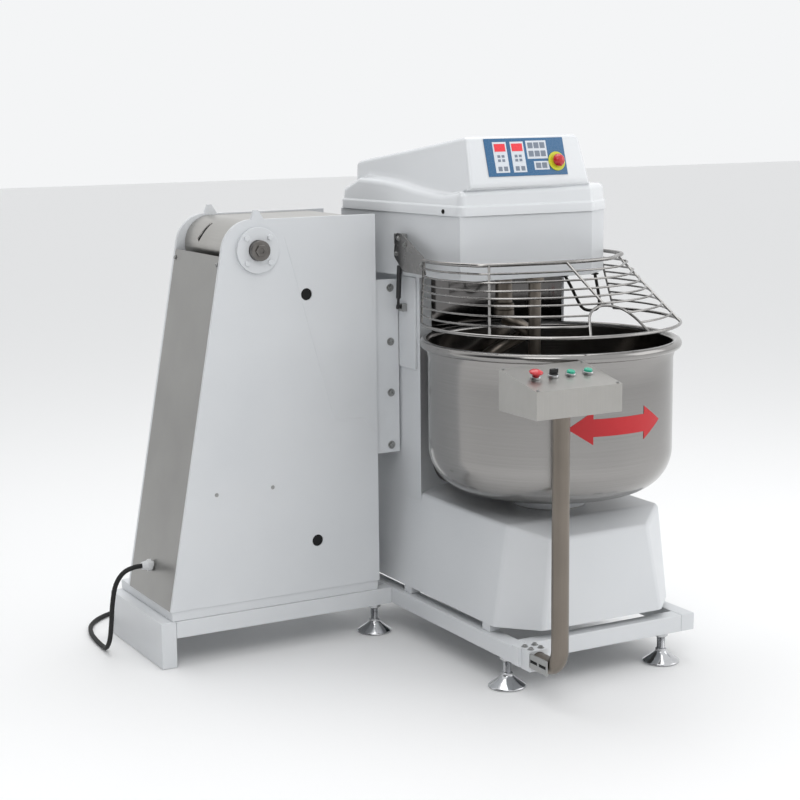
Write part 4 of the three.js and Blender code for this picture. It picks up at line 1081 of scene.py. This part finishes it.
class GuardForm:
    """The sloped surface that the guard's wires follow, from its top bar down to its ring."""

    def __init__(self):
        self.bar = catmull([(x, y, GUARD["bar_z"]) for x, y in TOP_BAR], 24)
        self.lengths = [0.0]
        for a, b in zip(self.bar, self.bar[1:]):
            self.lengths.append(self.lengths[-1] + (b - a).length)

    def on_bar(self, share):
        target = share * self.lengths[-1]
        for i, (a, b) in enumerate(zip(self.lengths, self.lengths[1:])):
            if target <= b:
                return self.bar[i].lerp(self.bar[i + 1], (target - a) / (b - a))
        return self.bar[-1].copy()

    def point(self, across, down):
        angle = math.radians(SWEEP[0] + (SWEEP[1] - SWEEP[0]) * across)
        x = BOWL["x"] + GUARD["ring"] * math.cos(angle)
        y = BOWL["y"] + GUARD["ring"] * math.sin(angle)
        low = Vector((x, y, GUARD["ring_z"]))
        return at(*self.on_bar(across).lerp(low, down))

    def wire(self, down, start, end, radius, sides=12):
        count = max(8, round((end - start) * 72))
        points = [self.point(start + (end - start) * k / count, down) for k in range(count + 1)]
        return tube(points, radius, sides)


class MIXER_OT_guard(bpy.types.Operator):
    """Wire guard with its mouth, side plates, hinges and screws"""

    bl_idname = "mixer.guard"
    bl_label = "Wire guard"

    def execute(self, context):
        form = GuardForm()
        thin = settings().wire * 1000
        parts = [form.wire(0, 0, 1, 6, 16), form.wire(1, 0, 1, 5, 16)]
        for down, left, right in ROWS:
            parts.append(form.wire(down, 0, left, thin))
            if right < 1:
                parts.append(form.wire(down, right, 1, thin))
        for across, foot, down in RIBS:
            parts.append(tube([form.point(across, 0), form.point(foot, down)], 4, 12))
        parts.append(tube(catmull([form.point(*m) for m in MOUTH], 6), 4, 12))
        for part in parts:
            smooth(part)
        side = [(-44, 1303), (-78, 1303), (-216, 1237), (-228, 1184), (-88, 1184), (-30, 1228), (-30, 1248)]
        for x in (GUARD["left"], GUARD["right"]):
            parts.append(plate([at(x, y, z) for y, z in side], 4, 7))
        settle(joined(parts), "wire_guard_finish", "wire_stainless", "guard", ["wire_guard"])
        left_holes = ((-60, 1287), (-100, 1268), (-205, 1212), (-45, 1238))
        outer = [(at(GUARD["left"] - 2.2, y, z), (-1, 0, 0)) for y, z in left_holes]
        outer += [(at(GUARD["right"] + 2.2, y, z), (1, 0, 0)) for y, z in ((-60, 1287), (-205, 1212))]
        screws("guard_screws", outer, "guard", 6, 4, 6, 1.2)
        softened("guard_hinge_left", "mixer", "zinc_steel", 1.2, 2)
        softened("guard_hinge_right", "mixer", "zinc_steel", 1.2, 2)
        for side_name, x in (("left", 70.5), ("right", 691)):
            leaf = slab(at(x, -28, 1281), (4, 84, 34), 1.2, 2)
            settle(leaf, f"hinge_leaf_{side_name}", "zinc_steel", "mixer")
        return {"FINISHED"}


class MIXER_OT_gas_spring(bpy.types.Operator):
    """The gas spring that holds the guard open: painted tube, plated rod and ball ends"""

    bl_idname = "mixer.gas_spring"
    bl_label = "Gas spring"

    def execute(self, context):
        foot = at(SPRING["x"], *SPRING["foot"])
        head = at(SPRING["x"], *SPRING["top"])
        length = (head - foot).length * 1000
        lie = Matrix.Translation(foot) @ facing(head - foot, (1, 0, 0)).to_4x4()
        r = SPRING["radius"]
        barrel = [(0, -7), (5, -6.5), (6.5, -4), (6.5, 5), (4.5, 8), (4.5, 26), (r - 1.5, 28), (r, 30)]
        barrel += [(r, length * 0.76), (r - 1, length * 0.775), (4.6, length * 0.78), (4.4, length * 0.7)]
        barrel += [(4.4, length * 0.3), (0, length * 0.3)]
        rod = [(0, length * 0.31), (3.9, length * 0.31), (3.9, length - 14)]
        rod += [(6, length - 12), (6.5, length - 5)]
        rod += [(6.5, length + 4), (5, length + 6.5), (0, length + 7)]
        tasks = (
            (barrel, "gas_spring_cylinder", "black_plastic", "black_plastic"),
            (rod, "gas_spring_rod", "chrome", "chrome"),
        )
        for profile, name, kind, slot_name in tasks:
            obj = spun([(mm(a), 0, mm(b)) for a, b in profile], (0, 0, 0), (0, 0, 1), 32)
            obj.data.transform(lie)
            smooth(obj)
            settle(obj, name + "_finish", kind, name, [name])
        softened("gas_spring_mount", "mixer", "zinc_steel", 1.2, 2)
        return {"FINISHED"}


class MIXER_OT_control_station(bpy.types.Operator):
    """The remote control box with its buttons, on its bent pole and clamp"""

    bl_idname = "mixer.control_station"
    bl_label = "Control station"

    def execute(self, context):
        softened("control_box", "frame", "brushed_stainless", 1.3, 3)
        corners = [(x, y) for x in (-131, 131) for y in (-88, 88)]
        screws("control_box_screws", [(in_lid(x, y), LID_OUT) for x, y in corners], "frame", 4, 2.2, 24, 0.6)
        places = [BUTTONS["first"] + k * BUTTONS["pitch"] for k in range(4)]
        bezels = [ring(in_lid(x, 0), LID_OUT, 12.4, 15.5, 0.1, 8, 1.2) for x in places[1:]]
        settle(joined(bezels), "button_bezels", "chrome", "frame")
        base = ring(in_lid(places[0], 0), LID_OUT, 10.5, 15.5, 0.1, 8, 1.2)
        settle(base, "box_stop_base", "chrome", "frame")
        head = mushroom(in_lid(places[0], 0), LID_OUT, 14.5, 12)
        body = "box_emergency_stop"
        settle(head, "box_stop_head", "red_plastic", body, ["box_emergency_stop"])
        cap = ring(in_lid(places[1], 0), LID_OUT, 0.4, 12.2, -8, 11, 0.8)
        grip = slab(in_lid(places[1], 0, 17), (26, 8, 14), 2, 3, LID_TURN)
        knob = joined([cap, grip])
        body = "selector_switch"
        settle(knob, "selector_knob", "black_plastic", body, ["selector_switch"])
        mark = slab(in_lid(places[1] + 8, 0, 24.1), (6, 1.6, 0.6), 0.2, 1, LID_TURN)
        settle(mark, "selector_mark", "white_film", "selector_switch")
        for x, name in ((places[2], "start_button"), (places[3], "tilt_button")):
            button = ring(in_lid(x, 0), LID_OUT, 0.4, 12, -8, 14, 2)
            settle(button, name + "_finish", "green_plastic", name, [name])
        self.pole()
        return {"FINISHED"}

    def pole(self):
        """The pole, its top flange, its clamp and the bracket beside it, whose slots are painted on as dark
        strips of shade.
        """
        x, y, z, bend = POLE["x"], POLE["y"], POLE["z"], POLE["bend"]
        path = [at(x, -745, z), at(x, -800, z), at(x, y + bend, z)]
        for k in range(1, 13):
            a = math.pi / 2 * k / 12
            path.append(at(x, y + bend - bend * math.sin(a), z + bend - bend * math.cos(a)))
        path += [at(x, y, 400), at(x, y, POLE["top"])]
        pole = tube(path, POLE["radius"], 36)
        smooth(pole, 50)
        flange = ring(at(x, y, 0), (0, 0, 1), 25.2, 44, 858, 864.6, 1.2, 48)
        bent = joined([pole, flange])
        settle(bent, "control_pole_finish", "tube_stainless", "frame", ["control_pole"])
        softened("pole_clamp", "frame", "white_paint", 2.5, 3)
        tops = [(at(a, b, 149), (0, 0, 1)) for a, b in ((68, -760), (102, -760), (68, -792), (102, -792))]
        screws("clamp_bolts", tops, "frame", 7, 5, 6, 1.4)
        bracket = slab(at(56, -850, 122), (4, 92, 44), 1.5, 2)
        # painted shade: thin black strips on the bracket face stand for the shade seen through its slots
        slot_shade_strips = [slab(at(53.8, yy, 122), (0.8, 34, 9), 0.3, 1) for yy in (-872, -828)]
        settle(bracket, "pole_bracket", "zinc_steel", "frame")
        settle(joined(slot_shade_strips), "bracket_slot_shade", "shadow_black", "frame")


class MIXER_OT_drives(bpy.types.Operator):
    """Belts and pulleys inside the housings"""

    bl_idname = "mixer.drives"
    bl_label = "Drives"

    def execute(self, context):
        dress("drive_belt", "black_rubber")
        dress("bowl_belt", "black_rubber")
        for name in ("motor_pulley", "bowl_motor_pulley"):
            dress(name, "machined_steel")
        return {"FINISHED"}


class MIXER_OT_mains_lead(bpy.types.Operator):
    """Mains lead: gland, lead, coil on the floor behind the tower, and its plug"""

    bl_idname = "mixer.mains_lead"
    bl_label = "Mains lead"

    def execute(self, context):
        r = CORD / 2
        wall_x = slope_x(GLAND["z"])
        tip = wall_x - GLAND["length"]
        y, z = GLAND["y"], GLAND["z"]
        rest = r + 0.9
        route = [
            (tip + 5.5, y, z), (tip - 25, y, z - 1), (tip - 60, y + 1, z - 14), (tip - 86, y + 3, z - 50),
            (tip - 98, y + 6, z - 110), (tip - 102, y + 12, z - 175), (tip - 104, y + 28, z - 232),
            (tip - 104, y + 62, z - 266), (tip - 102, y + 110, rest), (tip - 98, y + 180, rest),
            (tip - 86, y + 260, rest), (tip - 58, y + 338, rest), (tip - 6, y + 402, rest),
            (tip + 66, y + 446, rest), (tip + 150, y + 472, rest), (tip + 240, y + 488, rest),
            (COIL["x"] - 60, COIL["y"] + COIL["outer"] - r + 0.4, rest),
        ]
        layers = [(90, rest), (75, rest), (75, rest + CORD), (90, rest + CORD)]
        steps = 16
        for turn, (radius, height) in enumerate(layers):
            following = layers[min(turn + 1, len(layers) - 1)]
            for k in range(steps):
                ease = max(0, (k - steps * 0.6) / (steps * 0.4))
                angle = math.radians(90 - 360 * k / steps)
                reach = radius + (following[0] - radius) * ease
                lift = height + (following[1] - height) * ease
                route.append((COIL["x"] + reach * math.cos(angle), COIL["y"] + reach * math.sin(angle), lift))
        for degrees in (90, 60, 30, 0, -30, -55):
            angle = math.radians(degrees)
            route.append((COIL["x"] + 90 * math.cos(angle), COIL["y"] + 90 * math.sin(angle), rest + CORD))
        route += [(COIL["x"] + 20, COIL["y"] - 89, 24), (COIL["x"] - 10, COIL["y"] - 95, 29)]
        route += [(COIL["x"] - offset, COIL["y"] - 97.5, 33.1) for offset in (34, 62, 95)]
        line = catmull([at(*p) for p in route], 5)
        curve = bpy.data.curves.new("mains_lead", "CURVE")
        curve.dimensions = "3D"
        curve.bevel_depth = mm(r)
        curve.bevel_resolution = 3
        curve.use_fill_caps = True
        spline = curve.splines.new("POLY")
        spline.points.add(len(line) - 1)
        for point, place in zip(spline.points, line):
            point.co = (*place, 1)
        spline.use_smooth = True
        lead = bpy.data.objects.new("mains_lead", curve)
        bpy.context.scene.collection.objects.link(lead)
        lead.data.materials.append(MATERIALS["black_rubber"])
        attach(lead, "frame")
        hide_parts("mains_cord", "cord_coil")
        softened("cable_gland", "frame", "grey_plastic", 1, 2)
        plug = softened("mains_plug", "frame", "black_rubber", 3, 3)
        return {"FINISHED"}


VIEW = {"yaw": math.radians(28.9), "pitch": math.radians(9.8), "roll": math.radians(0.6)}


class MIXER_OT_stage(bpy.types.Operator):
    """Camera, pale floor and soft studio light"""

    bl_idname = "mixer.stage"
    bl_label = "Stage"

    def execute(self, context):
        self.camera()
        deselect()
        bpy.ops.mesh.primitive_plane_add(size=60, location=(0, 0, -0.0005))
        floor = bpy.context.object
        floor.name = "studio_floor"
        painted, tree, shader = material("studio_floor")
        feed(tree, shader, {"Base Color": (*settings().floor_colour, 1), "Roughness": 0.6})
        floor.data.materials.append(painted)
        self.light("key_light", (-2.6, -3.4, 4.4), 2.6, 55, (0, 0, 0.8))
        self.light("side_light", (4.0, -2.2, 2.6), 3.0, 30, (0, 0, 0.8))
        self.light("top_light", (0.4, 0.8, 4.6), 3.2, 55, (0, 0, 0.6))
        context.scene.world = self.room()
        context.scene.view_settings.view_transform = "Standard"
        return {"FINISHED"}

    def room(self):
        """A light room with one darker side, towards -X, that the polished metal mirrors."""
        world = bpy.data.worlds.new("studio")
        world.use_nodes = True
        tree = world.node_tree
        towards = node(tree, "ShaderNodeTexCoord").outputs["Generated"]
        open_side = {0: towards, 1: (-0.93, -0.36, 0.08)}
        dot = node(tree, "ShaderNodeVectorMath", open_side, operation="DOT_PRODUCT").outputs["Value"]
        share = {"Value": dot, "From Min": 0.52, "From Max": 0.88}
        share = node(tree, "ShaderNodeMapRange", share, interpolation_type="SMOOTHSTEP").outputs["Result"]
        tones = {"Factor": share, DARK: linear("#f4f5f6"), LIGHT: linear("#3c3d40")}
        feed(tree, tree.nodes["Background"], {
            "Color": node(tree, "ShaderNodeMix", tones, **TONES).outputs[MIXED],
            "Strength": 1,
        })
        return world

    def camera(self):
        yaw, pitch, roll = VIEW["yaw"], VIEW["pitch"], VIEW["roll"]
        forward = Vector((math.sin(yaw) * math.cos(pitch), math.cos(yaw) * math.cos(pitch), -math.sin(pitch)))
        right = Vector((math.cos(yaw), -math.sin(yaw), 0))
        down = forward.cross(right)
        turned = right * math.cos(roll) + down * math.sin(roll)
        down = down * math.cos(roll) - right * math.sin(roll)
        right = turned
        eye = at(-2608.6, -4875.6, 1724.0)
        camera = bpy.data.objects.new("camera", bpy.data.cameras.new("camera"))
        bpy.context.scene.collection.objects.link(camera)
        camera.matrix_world = Matrix.Translation(eye) @ Matrix((right, -down, -forward)).transposed().to_4x4()
        camera.data.lens = 79.08
        camera.data.sensor_width = 36
        camera.data.clip_end = 100
        bpy.context.scene.camera = camera

    def light(self, name, place, size, power, aim):
        data = bpy.data.lights.new(name, "AREA")
        data.size = size
        data.energy = power
        lamp = bpy.data.objects.new(name, data)
        lamp.location = place
        lamp.rotation_euler = (Vector(aim) - Vector(place)).to_track_quat("-Z", "Y").to_euler()
        bpy.context.scene.collection.objects.link(lamp)


OPERATORS = (
    MIXER_OT_stage,
    MIXER_OT_mains_lead,
    MIXER_OT_floor_frame,
    MIXER_OT_feet,
    MIXER_OT_tower,
    MIXER_OT_tilt_bearing,
    MIXER_OT_tilt_arm,
    MIXER_OT_lower_housing,
    MIXER_OT_column,
    MIXER_OT_head,
    MIXER_OT_hood,
    MIXER_OT_control_fascia,
    MIXER_OT_bowl,
    MIXER_OT_mixing_tools,
    MIXER_OT_guard,
    MIXER_OT_gas_spring,
    MIXER_OT_control_station,
    MIXER_OT_drives,
)


class MIXER_PT_panel(bpy.types.Panel):
    """Lists the mixer's pieces and settings"""

    bl_label = "Tipping spiral mixer"
    bl_idname = "MIXER_PT_panel"
    bl_space_type = "VIEW_3D"
    bl_region_type = "UI"
    bl_category = "Mixer"

    def draw(self, context):
        for name in ("edge", "hood_corner", "wire", "bowl_steps", "floor_colour"):
            self.layout.prop(context.scene.mixer_settings, name)
        for operator in OPERATORS:
            self.layout.operator(operator.bl_idname)


CLASSES = (MixerSettings, *OPERATORS, MIXER_PT_panel)


def register():
    for cls in CLASSES:
        bpy.utils.register_class(cls)
    bpy.types.Scene.mixer_settings = PointerProperty(type=MixerSettings)


def unregister():
    del bpy.types.Scene.mixer_settings
    for cls in reversed(CLASSES):
        bpy.utils.unregister_class(cls)


def main():
    register()
    for operator in OPERATORS:
        group, name = operator.bl_idname.split(".")
        getattr(getattr(bpy.ops, group), name)()


if __name__ == "__main__":
    main()
